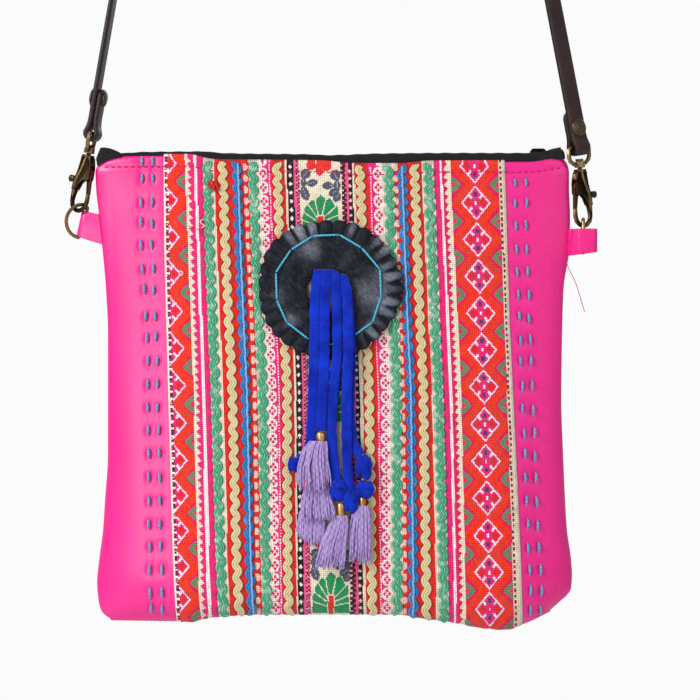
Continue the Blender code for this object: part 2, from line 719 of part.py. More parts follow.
def end_frame(end):
    """The strap end's directions: down the run, across the strap, and towards the folded tail."""
    inner = 1.0 if end.side == "left" else -1.0
    lean = math.radians(end.run_lean)
    down = Vector((-inner * math.sin(lean), 0.0, -math.cos(lean)))
    in_plane = Vector((inner * math.cos(lean), 0.0, -math.sin(lean)))
    twist = math.radians(end.twist) * (-inner)
    across = Vector((0, -1, 0)) * math.cos(twist) + in_plane * math.sin(twist)
    tail = down.cross(across).normalized()
    if tail.dot(in_plane) < 0:
        tail.negate()
    return down, across, tail


def end_path(end):
    """Stations from the free tail, down, round the bar and back up to the run, in the end's plane."""
    down, across, tail = end_frame(end)
    centre = Vector((end.loop_x, 0.0, end.loop_z))
    layer = (STRAP_THICK + GAP) / 2
    turn_radius = LOOP_BORE + STRAP_THICK / 2
    local = [(-end.tail, layer), (-end.tail + 0.0012, layer), (-end.tail + 0.0032, layer)]
    local += [(-end.tail / 2 - 0.002, layer), (-0.0066, layer), (-0.0038, layer + 0.0003)]
    for degrees in (125, 90, 50, 10, -30, -65, -100, -125):
        angle = math.radians(degrees)
        local.append((turn_radius * math.cos(angle), turn_radius * math.sin(angle)))
    local += [(-0.0038, -layer - 0.0003), (-0.0066, -layer), (-0.0120, -layer)]
    return [centre + down * d + tail * n for d, n in local], across


def bezier(start, start_way, end, end_way, steps):
    """Points strictly between start and end on a smooth curve."""
    reach = (end - start).length / 3
    first = start + start_way * reach
    second = end - end_way * reach
    found = []
    for i in range(1, steps):
        t = i / steps
        found.append(
            start * (1 - t) ** 3 + first * 3 * t * (1 - t) ** 2
            + second * 3 * t * t * (1 - t) + end * t ** 3)
    return found


def make_strap():
    arch_centre = Vector((0.0, 0.0, -(ARCH_RADIUS - STRAP_THICK / 2)))
    left_points, left_across = end_path(LEFT_END)
    right_points, right_across = end_path(RIGHT_END)
    right_points.reverse()
    left_lean = math.radians(LEFT_END.run_lean)
    right_lean = math.radians(RIGHT_END.run_lean)
    arch = []
    for i in range(ARCH_STEPS + 1):
        share = i / ARCH_STEPS
        angle = math.pi - left_lean + (right_lean - (math.pi - left_lean)) * share
        arch.append(arch_centre + Vector((math.cos(angle), 0, math.sin(angle))) * ARCH_RADIUS)
    left_up = Vector((math.sin(left_lean), 0, math.cos(left_lean)))
    right_down = Vector((math.sin(right_lean), 0, -math.cos(right_lean)))
    left_run = bezier(left_points[-1], left_up, arch[0], left_up, RUN_STEPS)
    right_run = bezier(arch[-1], right_down, right_points[0], right_down, RUN_STEPS)
    centres = left_points + left_run + arch + right_run + right_points
    ways = [left_across] * len(left_points)
    straight = Vector((0, -1, 0))
    for i in range(len(left_run)):
        ways.append(left_across.lerp(straight, smooth(0, 1, (i + 1) / (len(left_run) + 1))))
    ways += [straight] * len(arch)
    for i in range(len(right_run)):
        ways.append(straight.lerp(right_across, smooth(0, 1, (i + 1) / (len(right_run) + 1))))
    ways += [right_across] * len(right_points)
    last = len(centres) - 1
    rounded = {0: 0.45, 1: 0.82, last: 0.45, last - 1: 0.82}
    bm = bmesh.new()
    ribbon(bm, centres, ways, STRAP_WIDTH, STRAP_THICK, rounded)
    strap = finish_mesh("strap", bm, "strap_leather")
    holes = [rivet_bar(end, "strap_hole_" + end.side, 0.0017, 0.0120, 10) for end in (LEFT_END, RIGHT_END)]
    combine(strap, holes, "DIFFERENCE")
    return strap


def rivet_axis(end):
    down, across, tail = end_frame(end)
    return Vector((end.loop_x, 0.0, end.loop_z)) - down * end.rivet, tail


def rivet_bar(end, name, radius, length, sides):
    middle, way = rivet_axis(end)
    bm = bmesh.new()
    cylinder(bm, middle - way * length / 2, way, radius, length, sides)
    return finish_mesh(name, bm, "antique_brass")


def make_rivet(end):
    """Two domed caps on one shank, turned as one profile."""
    middle, way = rivet_axis(end)
    face = STRAP_THICK + GAP / 2 + GAP
    profile = [(0.0, face + 0.0014), (0.0030, face + 0.0012), (0.0045, face + 0.0005), (0.0046, face),
               (0.0013, face), (0.0013, -face), (0.0040, -face), (0.0039, -face - 0.0005),
               (0.0026, -face - 0.0010), (0.0, -face - 0.0011)]
    outward = -way
    first = outward.orthogonal().normalized()
    second = outward.cross(first)
    sides = 14
    bm = bmesh.new()
    rings = []
    for radius, along in profile[1:-1]:
        rings.append([
            middle + outward * along + (first * math.cos(2 * math.pi * k / sides)
                                        + second * math.sin(2 * math.pi * k / sides)) * radius
            for k in range(sides)
        ])
    made = skin_rings(bm, rings, False, False)
    for ring, along in ((made[0], profile[0][1]), (made[-1], profile[-1][1])):
        tip = bm.verts.new(middle + outward * along)
        for i in range(sides):
            bm.faces.new((ring[i], ring[(i + 1) % sides], tip))
    return finish_mesh("rivet_" + end.side, bm, "antique_brass")


def hook_frame(end):
    """Swivel axis down, gate direction, plate normal, and the collar's place."""
    outer = -1.0 if end.side == "left" else 1.0
    lean = math.radians(end.hook_lean)
    axis = Vector((outer * math.sin(lean), 0.0, -math.cos(lean)))
    yaw = math.radians(HOOK_YAW)
    gate_way = Vector((-outer * math.cos(yaw), -math.sin(yaw), 0.0))
    gate_way = (gate_way - axis * gate_way.dot(axis)).normalized()
    normal = axis.cross(gate_way).normalized()
    loop = Vector((end.loop_x, 0.0, end.loop_z))
    return axis, gate_way, normal, loop


def make_eye(end):
    """Bar, two sides and a bored base that the hook's post turns in."""
    axis, gate_way, normal, loop = hook_frame(end)
    across = end_frame(end)[1]
    side = EYE_INNER_HALF + EYE_WIRE
    outline = [(-side, 0.0007), (-side + 0.0009, 0.0), (side - 0.0009, 0.0), (side, 0.0007),
               (side, 0.0046), (side * 0.90, 0.0066), (side * 0.58, 0.0081), (0.0010, EYE_DROP),
               (-0.0010, EYE_DROP), (-side * 0.58, 0.0081), (-side * 0.90, 0.0066), (-side, 0.0046)]
    centres = [loop + across * w + axis * a for w, a in outline]
    way = axis.cross(across).normalized()
    bm = bmesh.new()
    tube(bm, centres, [EYE_WIRE] * len(centres), 8, way, closed=True)
    eye = finish_mesh("eye_" + end.side, bm, "antique_brass")
    bm = bmesh.new()
    cylinder(bm, loop + axis * (EYE_DROP - 0.0014), axis, 0.0027, 0.0028, 12)
    base = finish_mesh("eye_base_" + end.side, bm, "antique_brass")
    bm = bmesh.new()
    cylinder(bm, loop + axis * (EYE_DROP - 0.0040), axis, POST_RADIUS + GAP, 0.0080, 12)
    bore = finish_mesh("eye_bore_" + end.side, bm, "antique_brass")
    combine(eye, [base], "UNION")
    combine(eye, [bore], "DIFFERENCE")
    return eye


def hook_point(end, a, u, v=0.0):
    axis, gate_way, normal, loop = hook_frame(end)
    return loop + axis * (COLLAR_DROP + a) + gate_way * u + normal * v


def plate(end, outline, low, high):
    """A flat plate from an outline in the hook's plane, between two depths."""
    bm = bmesh.new()
    skin_rings(bm, [
        [hook_point(end, a, u, low) for a, u in outline],
        [hook_point(end, a, u, high) for a, u in outline],
    ])
    return bm


def make_hook(end):
    """Collar and post, two cheeks about the gate's slot, and the bent claw."""
    side = end.side
    half_plate = SLOT_HALF + CHEEK_THICK
    block = [(0.0004, -0.0028), (0.0004, 0.0030), (0.0046, 0.0042), (0.0046, -0.0026)]
    hook = finish_mesh("hook_" + side, plate(end, block, -half_plate, half_plate), "antique_brass")
    cheek = [(0.0010, -0.0026), (0.0010, 0.0032), (0.0060, 0.0045), (0.0115, 0.0046), (0.0125, 0.0034),
             (0.0118, 0.0004), (0.0140, -0.0018), (0.0175, -0.0032), (0.0175, -0.0053),
             (0.0130, -0.0050), (0.0070, -0.0034)]
    tools = []
    for name, low, high in (("near", -half_plate, -SLOT_HALF), ("far", SLOT_HALF, half_plate)):
        tools.append(finish_mesh(
            "hook_cheek_" + name + "_" + side, plate(end, cheek, low, high), "antique_brass"))
    claw = [(0.0158, -0.0040, 0.00175), (0.0176, -0.0044, 0.0017), (0.0200, -0.0047, 0.0014)]
    for degrees in (-90, -60, -30, -10, 10, 30, 60, 90):
        angle = math.radians(degrees)
        claw.append((
            HOOK_BEND_A + HOOK_BEND * math.cos(angle), HOOK_BEND * math.sin(angle), HOOK_WIRE))
    claw.append((HOOK_TIP_A, HOOK_BEND, HOOK_WIRE * 0.9))
    centres = [hook_point(end, a, u) for a, u, radius in claw]
    bm = bmesh.new()
    tube(bm, centres, [radius for a, u, radius in claw], 8, hook_frame(end)[2])
    tools.append(finish_mesh("hook_claw_" + side, bm, "antique_brass"))
    axis, gate_way, normal, loop = hook_frame(end)
    bm = bmesh.new()
    cylinder(bm, hook_point(end, GATE_PIVOT_A, GATE_PIVOT_U, -half_plate), normal,
             PIN_RADIUS, 2 * half_plate, 10)
    tools.append(finish_mesh("hook_pin_" + side, bm, "antique_brass"))
    bm = bmesh.new()
    cylinder(bm, hook_point(end, -COLLAR_HIGH / 2, 0.0), axis, COLLAR_RADIUS, COLLAR_HIGH, 12)
    tools.append(finish_mesh("hook_collar_" + side, bm, "antique_brass"))
    bm = bmesh.new()
    post_top = EYE_DROP - 0.0014 - GAP - COLLAR_DROP
    cylinder(bm, hook_point(end, post_top - 0.0003, 0.0), axis, POST_RADIUS, 0.0003 - post_top, 10)
    tools.append(finish_mesh("hook_post_" + side, bm, "antique_brass"))
    bm = bmesh.new()
    cylinder(bm, hook_point(end, post_top - 0.0012, 0.0), axis, POST_HEAD, 0.0012, 10)
    tools.append(finish_mesh("hook_head_" + side, bm, "antique_brass"))
    combine(hook, tools, "UNION")
    return hook


def make_gate(end):
    """Sprung lever: a boss on the pin, an arm that closes the claw, and a thumb knob outside."""
    side = end.side
    arm = [(0.0054, 0.0016), (0.0054, 0.0036), (0.0072, 0.0046), (0.0120, 0.0052), (0.0192, 0.0057),
           (0.0192, 0.0039), (0.0130, 0.0028), (0.0113, 0.0005), (0.0128, -0.0050), (0.0132, -0.0064),
           (0.0112, -0.0064), (0.0105, -0.0050), (0.0084, 0.0000)]
    gate = finish_mesh("gate_" + side, plate(end, arm, -GATE_HALF, GATE_HALF), "antique_brass")
    axis, gate_way, normal, loop = hook_frame(end)
    bm = bmesh.new()
    cylinder(bm, hook_point(end, 0.0121, -0.0058), -gate_way, 0.0016, 0.0028, 10, 0.0019)
    knob = finish_mesh("gate_knob_" + side, bm, "antique_brass")
    bm = bmesh.new()
    cylinder(bm, hook_point(end, GATE_PIVOT_A, GATE_PIVOT_U, -0.003), normal,
             PIN_RADIUS + GAP, 0.006, 10)
    bore = finish_mesh("gate_bore_" + side, bm, "antique_brass")
    combine(gate, [knob], "UNION")
    combine(gate, [bore], "DIFFERENCE")
    return gate


def ring_frame(end):
    """The D-ring's centre, bar direction and bulge direction, set so that the claw grips it."""
    if end.side == "left":
        tilt, yaw = math.radians(13.2), math.radians(25.0)
        bar = Vector((math.sin(tilt), 0.0, math.cos(tilt)))
        flat = Vector((-math.cos(tilt), 0.0, math.sin(tilt)))
        bulge = flat * math.cos(yaw) + Vector((0, -1, 0)) * math.sin(yaw)
    else:
        bar = Vector((0.0, 0.0, 1.0))
        bulge = Vector((0.05, 1.0, 0.0)).normalized()
    grip_a = HOOK_BEND_A + HOOK_BEND - HOOK_WIRE - RING_WIRE - CLAW_PLAY
    grip = hook_point(end, grip_a, 0.0)
    grip_angle = math.radians(end.grip)
    reach = bulge * math.cos(grip_angle) + bar * math.sin(grip_angle)
    return grip - reach * RING_RADIUS, bar, bulge


def make_ring(end):
    centre, bar, bulge = ring_frame(end)
    centres = []
    for i in range(13):
        angle = math.radians(-90 + 180 * i / 12)
        centres.append(centre + (bulge * math.cos(angle) + bar * math.sin(angle)) * RING_RADIUS)
    centres.append(centre + bar * RING_RADIUS * 0.86 - bulge * 0.0012)
    centres.append(centre - bar * RING_RADIUS * 0.86 - bulge * 0.0012)
    bm = bmesh.new()
    tube(bm, centres, [RING_WIRE] * len(centres), 8, bar.cross(bulge).normalized(), closed=True)
    return finish_mesh("d_ring_" + end.side, bm, "antique_brass")


def tab_plan(end):
    """The tab's strip seen along the ring's bar: out from the seam, round the bar and back."""
    inner = GAP + RING_WIRE + TAB_THICK / 2
    seam = (TAB_THICK + GAP) / 2
    if end.side == "left":
        plan = [(None, -seam), (-0.0030, -inner), (0.0, -inner)]
        for degrees in (-60, -30, 0, 30, 60):
            angle = math.radians(degrees)
            plan.append((inner * math.cos(angle), inner * math.sin(angle)))
        plan += [(0.0, inner), (-0.0030, inner), (None, seam)]
    else:
        fold = 0.0046
        plan = [(None, -seam), (-0.0022, -inner), (0.0, -inner), (fold, -inner)]
        for degrees in (-60, -30, 0, 30, 60):
            angle = math.radians(degrees)
            plan.append((fold + inner * math.cos(angle), inner * math.sin(angle)))
        plan += [(fold, inner), (0.0, inner), (-0.0022, inner), (None, seam)]
    return plan


def bag_side_x(z, side):
    drop = TOP_EDGE_Z - z
    name = "left" if side == "left" else "right"
    return BAG_MIDDLE_X + between(BAG_ROWS, name, "drop", drop)


def make_tab(end):
    """A leather strip that goes round the D-ring's bar, both ends meeting the pouch's side."""
    centre, bar, bulge = ring_frame(end)
    outer = -1.0 if end.side == "left" else 1.0
    out = Vector((outer, 0.0, 0.0))
    out = (out - bar * out.dot(bar)).normalized()
    bar_back = -bulge * 0.0012
    middle = centre + bar_back - bar * end.tab_shift
    top, bottom = [], []
    for along, depth in tab_plan(end):
        for edge, sign in ((top, 1.0), (bottom, -1.0)):
            if along is None:
                base = middle + bar * end.tab_half * sign
                x = bag_side_x(base.z, end.side) + outer * (GAP + 0.0002)
                z = base.z + (x - base.x) * out.z / out.x
                x = bag_side_x(z, end.side) + outer * (GAP + 0.0002)
                edge.append(Vector((x, depth, z)))
            else:
                edge.append(middle + out * along + Vector((0, depth, 0)) + bar * end.tab_half * sign)
    rings = []
    last = len(top) - 1
    for i in range(len(top)):
        along = top[min(i + 1, last)] - top[max(i - 1, 0)]
        if i == 0:
            along = out
        if i == last:
            along = -out
        flat = along.cross(bar).normalized() * TAB_THICK / 2
        rings.append([top[i] - flat, top[i] + flat, bottom[i] + flat, bottom[i] - flat])
    bm = bmesh.new()
    skin_rings(bm, rings)
    return finish_mesh("tab_" + end.side, bm, "pink_leather")


def hang_from_empty(name, place, members):
    """Parents the pieces of a moving body to an empty on its joint's axis."""
    empty = bpy.data.objects.new(name, None)
    bpy.context.scene.collection.objects.link(empty)
    empty.location = place
    bpy.context.view_layer.update()
    for member in members:
        member.parent = empty
        member.matrix_parent_inverse = empty.matrix_world.inverted()
    return empty


def clear_scene():
    for found in list(bpy.data.objects):
        bpy.data.objects.remove(found, do_unlink=True)


def main():
    clear_scene()
    make_bag_body()
    make_panel()
    for braid in BRAIDS:
        make_braid(braid)
    make_zip_tape("zip_tape_front", -1)
    make_zip_tape("zip_tape_back", 1)
    make_zip_coil()
    make_zip_ends()
    make_zip_slider()
    make_rosette()
    make_strips()
    for knot in KNOTS:
        make_knot(knot)
    for bead in BEADS:
        make_bead(bead)
    for name, rows in TASSELS.items():
        make_tassel(name, rows)
    make_strap()
    for end in (LEFT_END, RIGHT_END):
        make_rivet(end)
        make_eye(end)
        hook = make_hook(end)
        gate = make_gate(end)
        make_ring(end)
        make_tab(end)
        hang_from_empty("swivel_axis_" + end.side, hook_point(end, 0.0, 0.0), [hook])
        hang_from_empty(
            "gate_axis_" + end.side, hook_point(end, GATE_PIVOT_A, GATE_PIVOT_U), [gate])


main()
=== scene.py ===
# Embroidered pouch on its leather strap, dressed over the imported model
import math

import bmesh
import bpy
import numpy as np
from mathutils import Matrix, Vector


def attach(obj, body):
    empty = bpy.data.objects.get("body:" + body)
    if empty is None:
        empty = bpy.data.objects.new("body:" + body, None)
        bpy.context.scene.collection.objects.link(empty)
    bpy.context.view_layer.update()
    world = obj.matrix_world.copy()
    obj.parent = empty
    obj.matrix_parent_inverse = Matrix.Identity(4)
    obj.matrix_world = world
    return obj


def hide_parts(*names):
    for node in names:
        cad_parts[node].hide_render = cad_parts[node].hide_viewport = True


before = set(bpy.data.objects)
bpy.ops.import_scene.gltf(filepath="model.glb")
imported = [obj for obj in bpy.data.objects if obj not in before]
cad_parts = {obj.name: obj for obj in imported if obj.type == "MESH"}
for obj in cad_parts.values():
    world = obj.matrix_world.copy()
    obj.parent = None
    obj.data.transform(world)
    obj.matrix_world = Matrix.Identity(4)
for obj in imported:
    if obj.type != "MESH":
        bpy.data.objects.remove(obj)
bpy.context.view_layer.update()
dice = np.random.default_rng(7)
view = {"x": 0.0138, "y": -1.5, "z": -0.6505}  # the camera's place


# helpers for shapes
def linked(name, data):
    made = bpy.data.objects.new(name, data)
    bpy.context.scene.collection.objects.link(made)
    return made


def meshFrom(bm, name):
    mesh = bpy.data.meshes.new(name)
    bm.to_mesh(mesh)
    bm.free()
    return mesh


def readPoints(mesh):
    flat = np.empty(len(mesh.vertices) * 3, np.float32)
    mesh.vertices.foreach_get("co", flat)
    return flat.reshape(-1, 3).astype(float)


def unit(ways):
    return ways / np.maximum(np.linalg.norm(ways, axis=-1, keepdims=True), 1e-12)


def smoothStep(low, high, value):
    share = np.clip((value - low) / (high - low), 0.0, 1.0)
    return share * share * (3 - 2 * share)


def hump(value, middle, spread):
    return np.exp(-((value - middle) / spread) ** 2)


def runAlong(path):
    return np.r_[0, np.cumsum(np.linalg.norm(np.diff(path, axis=0), axis=1))]


def betweenRows(rows, slopes, i, h, t):
    # the smooth curve from row i to the next one, h further on, a share t of the way
    return (rows[i] * (1 + 2 * t) * (1 - t) ** 2 + slopes[i] * h * t * (1 - t) ** 2
            + rows[i + 1] * t * t * (3 - 2 * t) + slopes[i + 1] * h * t * t * (t - 1))


def smoothTable(places, values):
    # a curve through a table that doesn't swing past its rows
    xs, ys = np.array(places, float), np.array(values, float)
    gaps = np.diff(xs)
    rises = np.diff(ys) / gaps
    slopes = np.zeros_like(ys)
    both = rises[:-1] * rises[1:]
    slopes[1:-1] = np.where(both > 0, 2 * both / (rises[:-1] + rises[1:] + 1e-18), 0)
    slopes[0], slopes[-1] = rises[0], rises[-1]

    def at(x):
        x = np.clip(x, xs[0], xs[-1])
        i = np.clip(np.searchsorted(xs, x) - 1, 0, len(xs) - 2)
        return betweenRows(ys, slopes, i, gaps[i], (x - xs[i]) / gaps[i])
    return at


def smoothPath(points, count):
    # even steps along a curve through the points, which may carry more columns than three
    points = np.asarray(points, float)
    span = runAlong(points[:, :3])
    at = np.linspace(0, span[-1], count)
    i = np.clip(np.searchsorted(span, at, side="right") - 1, 0, len(span) - 2)
    h = (span[i + 1] - span[i])[:, None]
    return betweenRows(points, np.gradient(points, span, axis=0), i, h, (at - span[i])[:, None] / h)


def finishObject(mesh, material, *replaced, body="bag", weld=0.0, turnOut=False):
    # makes a piece of a mesh, under the mesh's name
    if weld or turnOut:
        bm = bmesh.new()
        bm.from_mesh(mesh)
        if weld:
            bmesh.ops.remove_doubles(bm, verts=bm.verts, dist=weld)
        if turnOut:
            bmesh.ops.recalc_face_normals(bm, faces=bm.faces)
        bm.to_mesh(mesh)
        bm.free()
    mesh.shade_smooth()
    mesh.materials.clear()
    mesh.materials.append(material)
    made = linked(mesh.name, mesh)
    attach(made, body)
    if replaced:
        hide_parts(*replaced)
    return made


def gridMesh(name, columns, rows, place):
    # a flat grid, then every point put where place(u, v) says; v runs down
    bm = bmesh.new()
    bm.loops.layers.uv.new("flat")
    bmesh.ops.create_grid(bm, x_segments=columns, y_segments=rows, size=0.5, calc_uvs=True)
    mesh = meshFrom(bm, name)
    flat = readPoints(mesh)
    placed = place(flat[:, 0] + 0.5, 0.5 - flat[:, 1])
    mesh.vertices.foreach_set("co", placed.astype(np.float32).ravel())
    mesh.update()
    return mesh


def bandMesh(name, centres, ways, halfWidths, halfThick, around=16, square=0.45, crown=0.15):
    # a strip with rounded edges along a path; ways hold the width direction
    along = unit(np.gradient(centres, axis=0))
    ways = unit(ways)
    ways = unit(ways - along * np.sum(ways * along, axis=1, keepdims=True))
    ups = np.cross(along, ways)
    count = len(centres)

    def place(u, v):
        row = np.clip(np.rint(v * (count + 1)).astype(int) - 1, 0, count - 1)
        ends = (v < 0.5 / (count + 1)) | (v > 1 - 0.5 / (count + 1))  # drawn together to a point
        c, s = np.cos(2 * np.pi * u), np.sin(2 * np.pi * u)
        wide = np.sign(c) * np.abs(c) ** square * halfWidths[row]
        thick = np.sign(s) * np.abs(s) ** (square + 0.25) * halfThick
        thick = thick * (1 + crown * (1 - (wide / halfWidths[row]) ** 2))
        keep = np.where(ends, 0.0, 1.0)
        return centres[row] + ways[row] * (wide * keep)[:, None] + ups[row] * (thick * keep)[:, None]
    return gridMesh(name, around, count + 1, place)


def strandMesh(name, paths, radius, sides=6, shares=()):
    # many thin round strands, made as one curve and turned into a mesh
    curve = bpy.data.curves.new(name, "CURVE")
    curve.dimensions = "3D"
    curve.bevel_depth = radius
    curve.bevel_resolution = max(0, (sides - 4) // 2)
    curve.use_fill_caps = True
    for number, path in enumerate(paths):
        points = curve.splines.new("POLY").points
        points.add(len(path) - 1)
        points.foreach_set("co", np.c_[path, np.ones(len(path))].astype(np.float32).ravel())
        if len(shares):
            points.foreach_set("radius", np.asarray(shares[number], np.float32))
    holder = linked(name, curve)
    graph = bpy.context.evaluated_depsgraph_get()
    mesh = bpy.data.meshes.new_from_object(holder.evaluated_get(graph))
    bpy.data.objects.remove(holder, do_unlink=True)
    mesh.name = name
    return mesh


def pliedPaths(path, radius, pitch):
    # a thread's two plies, wound round its path
    along = unit(np.gradient(path, axis=0))
    side = unit(np.cross(along, [0.3, 0.2, 1.0]))
    up = np.cross(along, side)
    turns = 2 * np.pi * (runAlong(path) / pitch + np.array([[0.0], [0.5]]))[:, :, None]
    return [path + (side * np.cos(turn) + up * np.sin(turn)) * radius for turn in turns]


# helpers for finishes
def tone(red, green, blue):
    # a colour as a screen shows it, 0 to 255, made linear
    parts = []
    for value in (red, green, blue):
        share = value / 255
        parts.append(share / 12.92 if share <= 0.04045 else ((share + 0.055) / 1.055) ** 2.4)
    return (*parts, 1.0)


class Nodes:
    # shorthand for laying nodes in self.tree; patterns are read at self.where
    def put(self, socket, value):
        if isinstance(value, bpy.types.NodeSocket):
            self.tree.links.new(value, socket)
        else:
            socket.default_value = value

    def node(self, kind, inputs={}, **settings):
        made = self.tree.nodes.new("ShaderNode" + kind)
        for key, value in settings.items():
            setattr(made, key, value)
        for key, value in inputs.items():
            self.put(made.inputs[key], value)
        return made.outputs

    def noise(self, scale, detail=3.0, rough=0.6, where=None, distortion=0.0):
        return self.node("TexNoise", {"Vector": where or self.where, "Scale": scale, "Detail": detail,
                                      "Roughness": rough, "Distortion": distortion})["Fac"]

    def stretched(self, scale, where=None, turn=(0, 0, 0)):
        return self.node("Mapping", {"Vector": where or self.where, "Scale": scale,
                                     "Rotation": turn})["Vector"]

    def math(self, operation, first, second=0.0):
        return self.node("Math", {0: first, 1: second}, operation=operation)[0]

    def line(self, value, by, plus):
        return self.math("ADD", self.math("MULTIPLY", value, by), plus)

    def wave(self, value, turns, kind="SINE"):
        return self.math("ABSOLUTE", self.math(kind, self.math("MULTIPLY", value, turns)))

    def ramp(self, fac, *stops):
        # two stops of (place, value)
        made = self.tree.nodes.new("ShaderNodeValToRGB")
        for item, (place, value) in zip(made.color_ramp.elements, stops):
            item.position = place
            item.color = (value, value, value, 1)
        self.put(made.inputs["Fac"], fac)
        return made.outputs["Color"]

    def mix(self, fac, first, second, blend="MIX"):
        # the two are sockets, or colours as a screen shows them
        first, second = [tone(*value) if isinstance(value, tuple) else value for value in (first, second)]
        return self.node("Mix", {0: fac, 6: first, 7: second}, data_type="RGBA", blend_type=blend)[2]


class Effect(Nodes):
    # a shader node group that several finishes share
    def __init__(self, name, **scales):
        self.tree = bpy.data.node_groups.new(name, "ShaderNodeTree")
        self.socket("Place", "INPUT", "Vector")
        for label, value in scales.items():
            self.socket(label, "INPUT").default_value = value
        self.given = self.tree.nodes.new("NodeGroupInput").outputs
        self.where = self.given["Place"]

    def socket(self, label, way, kind="Float"):
        return self.tree.interface.new_socket(name=label, in_out=way, socket_type="NodeSocket" + kind)

    def give(self, **results):
        for label in results:
            self.socket(label, "OUTPUT")
        out = self.tree.nodes.new("NodeGroupOutput")
        for label, value in results.items():
            self.put(out.inputs[label], value)


class Finish(Nodes):
    def __init__(self, name, **sockets):
        self.material = bpy.data.materials.new(name)
        self.material.use_nodes = True
        self.tree = self.material.node_tree
        self.shader = self.tree.nodes["Principled BSDF"].inputs
        for key, value in sockets.items():
            self.shader[key.replace("_", " ")].default_value = value
        self.where = self.node("TexCoord")["Object"]

    def uv(self, name="flat"):
        return self.node("SeparateXYZ", {0: self.node("UVMap", uv_map=name)["UV"]})

    def attribute(self, name, kind):
        return self.node("Attribute", attribute_name=name)[kind]

    def effect(self, name, where=None, **values):
        return self.node("Group", {"Place": where or self.where, **values},
                         node_tree=bpy.data.node_groups[name])

    def over(self, base, colour, mask, *stops):
        # lays a colour over the base as far as the mask's ramp says
        return self.mix(self.ramp(mask, *stops), base, colour)

    def done(self, colour, rough, *layers):
        # each layer is a bump's height, its distance in metres and its strength
        self.put(self.shader["Base Color"], colour)
        self.put(self.shader["Roughness"], rough)
        below = {}
        for height, distance, strength in layers:
            inputs = {"Height": height, "Distance": distance, "Strength": strength, **below}
            below = {"Normal": self.node("Bump", inputs)["Normal"]}
        self.put(self.shader["Normal"], below["Normal"])
        return self.material


def makeEffects():
    leather = Effect("leatherGrain", Broad=14.0, Fine=420.0, Pore=900.0)
    pores = leather.node("TexVoronoi", {"Vector": leather.where, "Scale": leather.given["Pore"]})["Distance"]
    leather.give(Folds=leather.noise(leather.given["Broad"], 3, 0.55),
                 Grain=leather.noise(leather.given["Fine"], 3, 0.6), Pores=pores)
    wearAndHighlight = Effect("rubbedPatches", Size=300.0)
    wearAndHighlight.give(Worn=wearAndHighlight.noise(wearAndHighlight.given["Size"], 3, 0.7))
    twist = Effect("threadTwist", Turns=2400.0)  # two crossed lays of thread
    part = twist.node("SeparateXYZ", {0: twist.where})
    across, along = [twist.math("MULTIPLY", part[axis], twist.given["Turns"]) for axis in (0, 2)]
    lays = [twist.math("SINE", twist.math(way, across, along)) for way in ("ADD", "SUBTRACT")]
    twist.give(Twist=twist.line(twist.math("ADD", *lays), 0.25, 0.5))
    patina = Effect("metalPatina", Spots=190.0, Scratches=90.0)
    patina.give(Patina=patina.noise(patina.given["Spots"], 5, 0.7),
                Scratch=patina.noise(patina.given["Scratches"], 4, 0.7, patina.stretched((1, 1, 7))))


def makePinkLeather():
    f = Finish("pinkLeather", Roughness=0.4, Specular_IOR_Level=0.5, Coat_Weight=0.35, Coat_Roughness=0.26)
    broad, fine, pores = f.effect("leatherGrain")
    base = f.mix(broad, (234, 6, 124), (250, 22, 152))
    base = f.over(base, (216, 4, 104), fine, (0.35, 0.0), (0.75, 0.35))
    return f.done(base, f.line(fine, 0.16, 0.34), (broad, 0.002, 0.10), (f.noise(60, 3, 0.5), 0.0006, 0.25),
                  (pores, 0.0002, 0.22), (fine, 0.0002, 0.2))


def makeStrapLeather():
    f = Finish("strapLeather", Roughness=0.45, Specular_IOR_Level=0.4)
    broad, fine, pores = f.effect("leatherGrain", Broad=45.0, Fine=700.0, Pore=1300.0)
    base = f.over((34, 19, 20), (68, 37, 36), broad, (0.3, 0.0), (0.7, 1.0))
    side = f.wave(f.uv()[0], 2 * math.pi, "COSINE")
    base = f.over(base, (20, 13, 16), side, (0.82, 0.0), (0.93, 1.0))  # painted edges
    return f.done(base, f.line(broad, 0.25, 0.30), (broad, 0.0005, 0.3), (pores, 0.0002, 0.35),
                  (fine, 0.0001, 0.3))


def makeEmbroidery():
    f = Finish("embroidery", Roughness=0.85, Specular_IOR_Level=0.25, Sheen_Weight=0.15)
    across, down = f.uv("cells")[:2]
    stitch = f.math("MULTIPLY", f.wave(across, math.pi), f.wave(down, math.pi))
    twill = f.wave(f.math("ADD", across, down), math.pi)
    height = f.math("MULTIPLY", stitch, f.line(twill, 0.5, 0.5))
    wearAndPaintedLight = f.effect("rubbedPatches", Size=160.0)["Worn"]
    shade = f.ramp(height, (0.0, 0.60), (0.45, 1.04))
    base = f.mix(1.0, f.attribute("threads", "Color"), shade, "MULTIPLY")
    base = f.over(base, (180, 120, 120), wearAndPaintedLight, (0.45, 0.0), (0.85, 0.12))
    return f.done(base, f.line(wearAndPaintedLight, 0.2, 0.72), (height, 0.0004, 0.5), (wearAndPaintedLight, 0.0004, 0.25))


def makeBraid(name, light, dark, fleck, amount=0.55):
    # woven ric-rac: plies lie along it, with a twill across
    f = Finish(name, Roughness=0.75, Specular_IOR_Level=0.3, Sheen_Weight=0.2)
    across, along = f.uv()[:2]
    lean = f.math("ADD", f.math("MULTIPLY", along, 2600.0), f.math("MULTIPLY", across, 16.0))
    twill = f.math("MULTIPLY", f.wave(lean, 1.0), 0.3)
    height = f.line(f.wave(across, 3 * math.pi), 0.7, twill)
    wearAndPaintedLight = f.effect("rubbedPatches", Size=260.0)["Worn"]
    # painted shade: the colour darkens in the grooves between the plies, where the height is low
    base = f.over(dark, light, height, (0.15, 0.0), (0.75, 1.0))
    base = f.over(base, fleck, wearAndPaintedLight, (0.52, 0.0), (0.72, amount))
    return f.done(base, f.line(wearAndPaintedLight, 0.2, 0.62), (height, 0.0005, 0.7), (wearAndPaintedLight, 0.0003, 0.3))


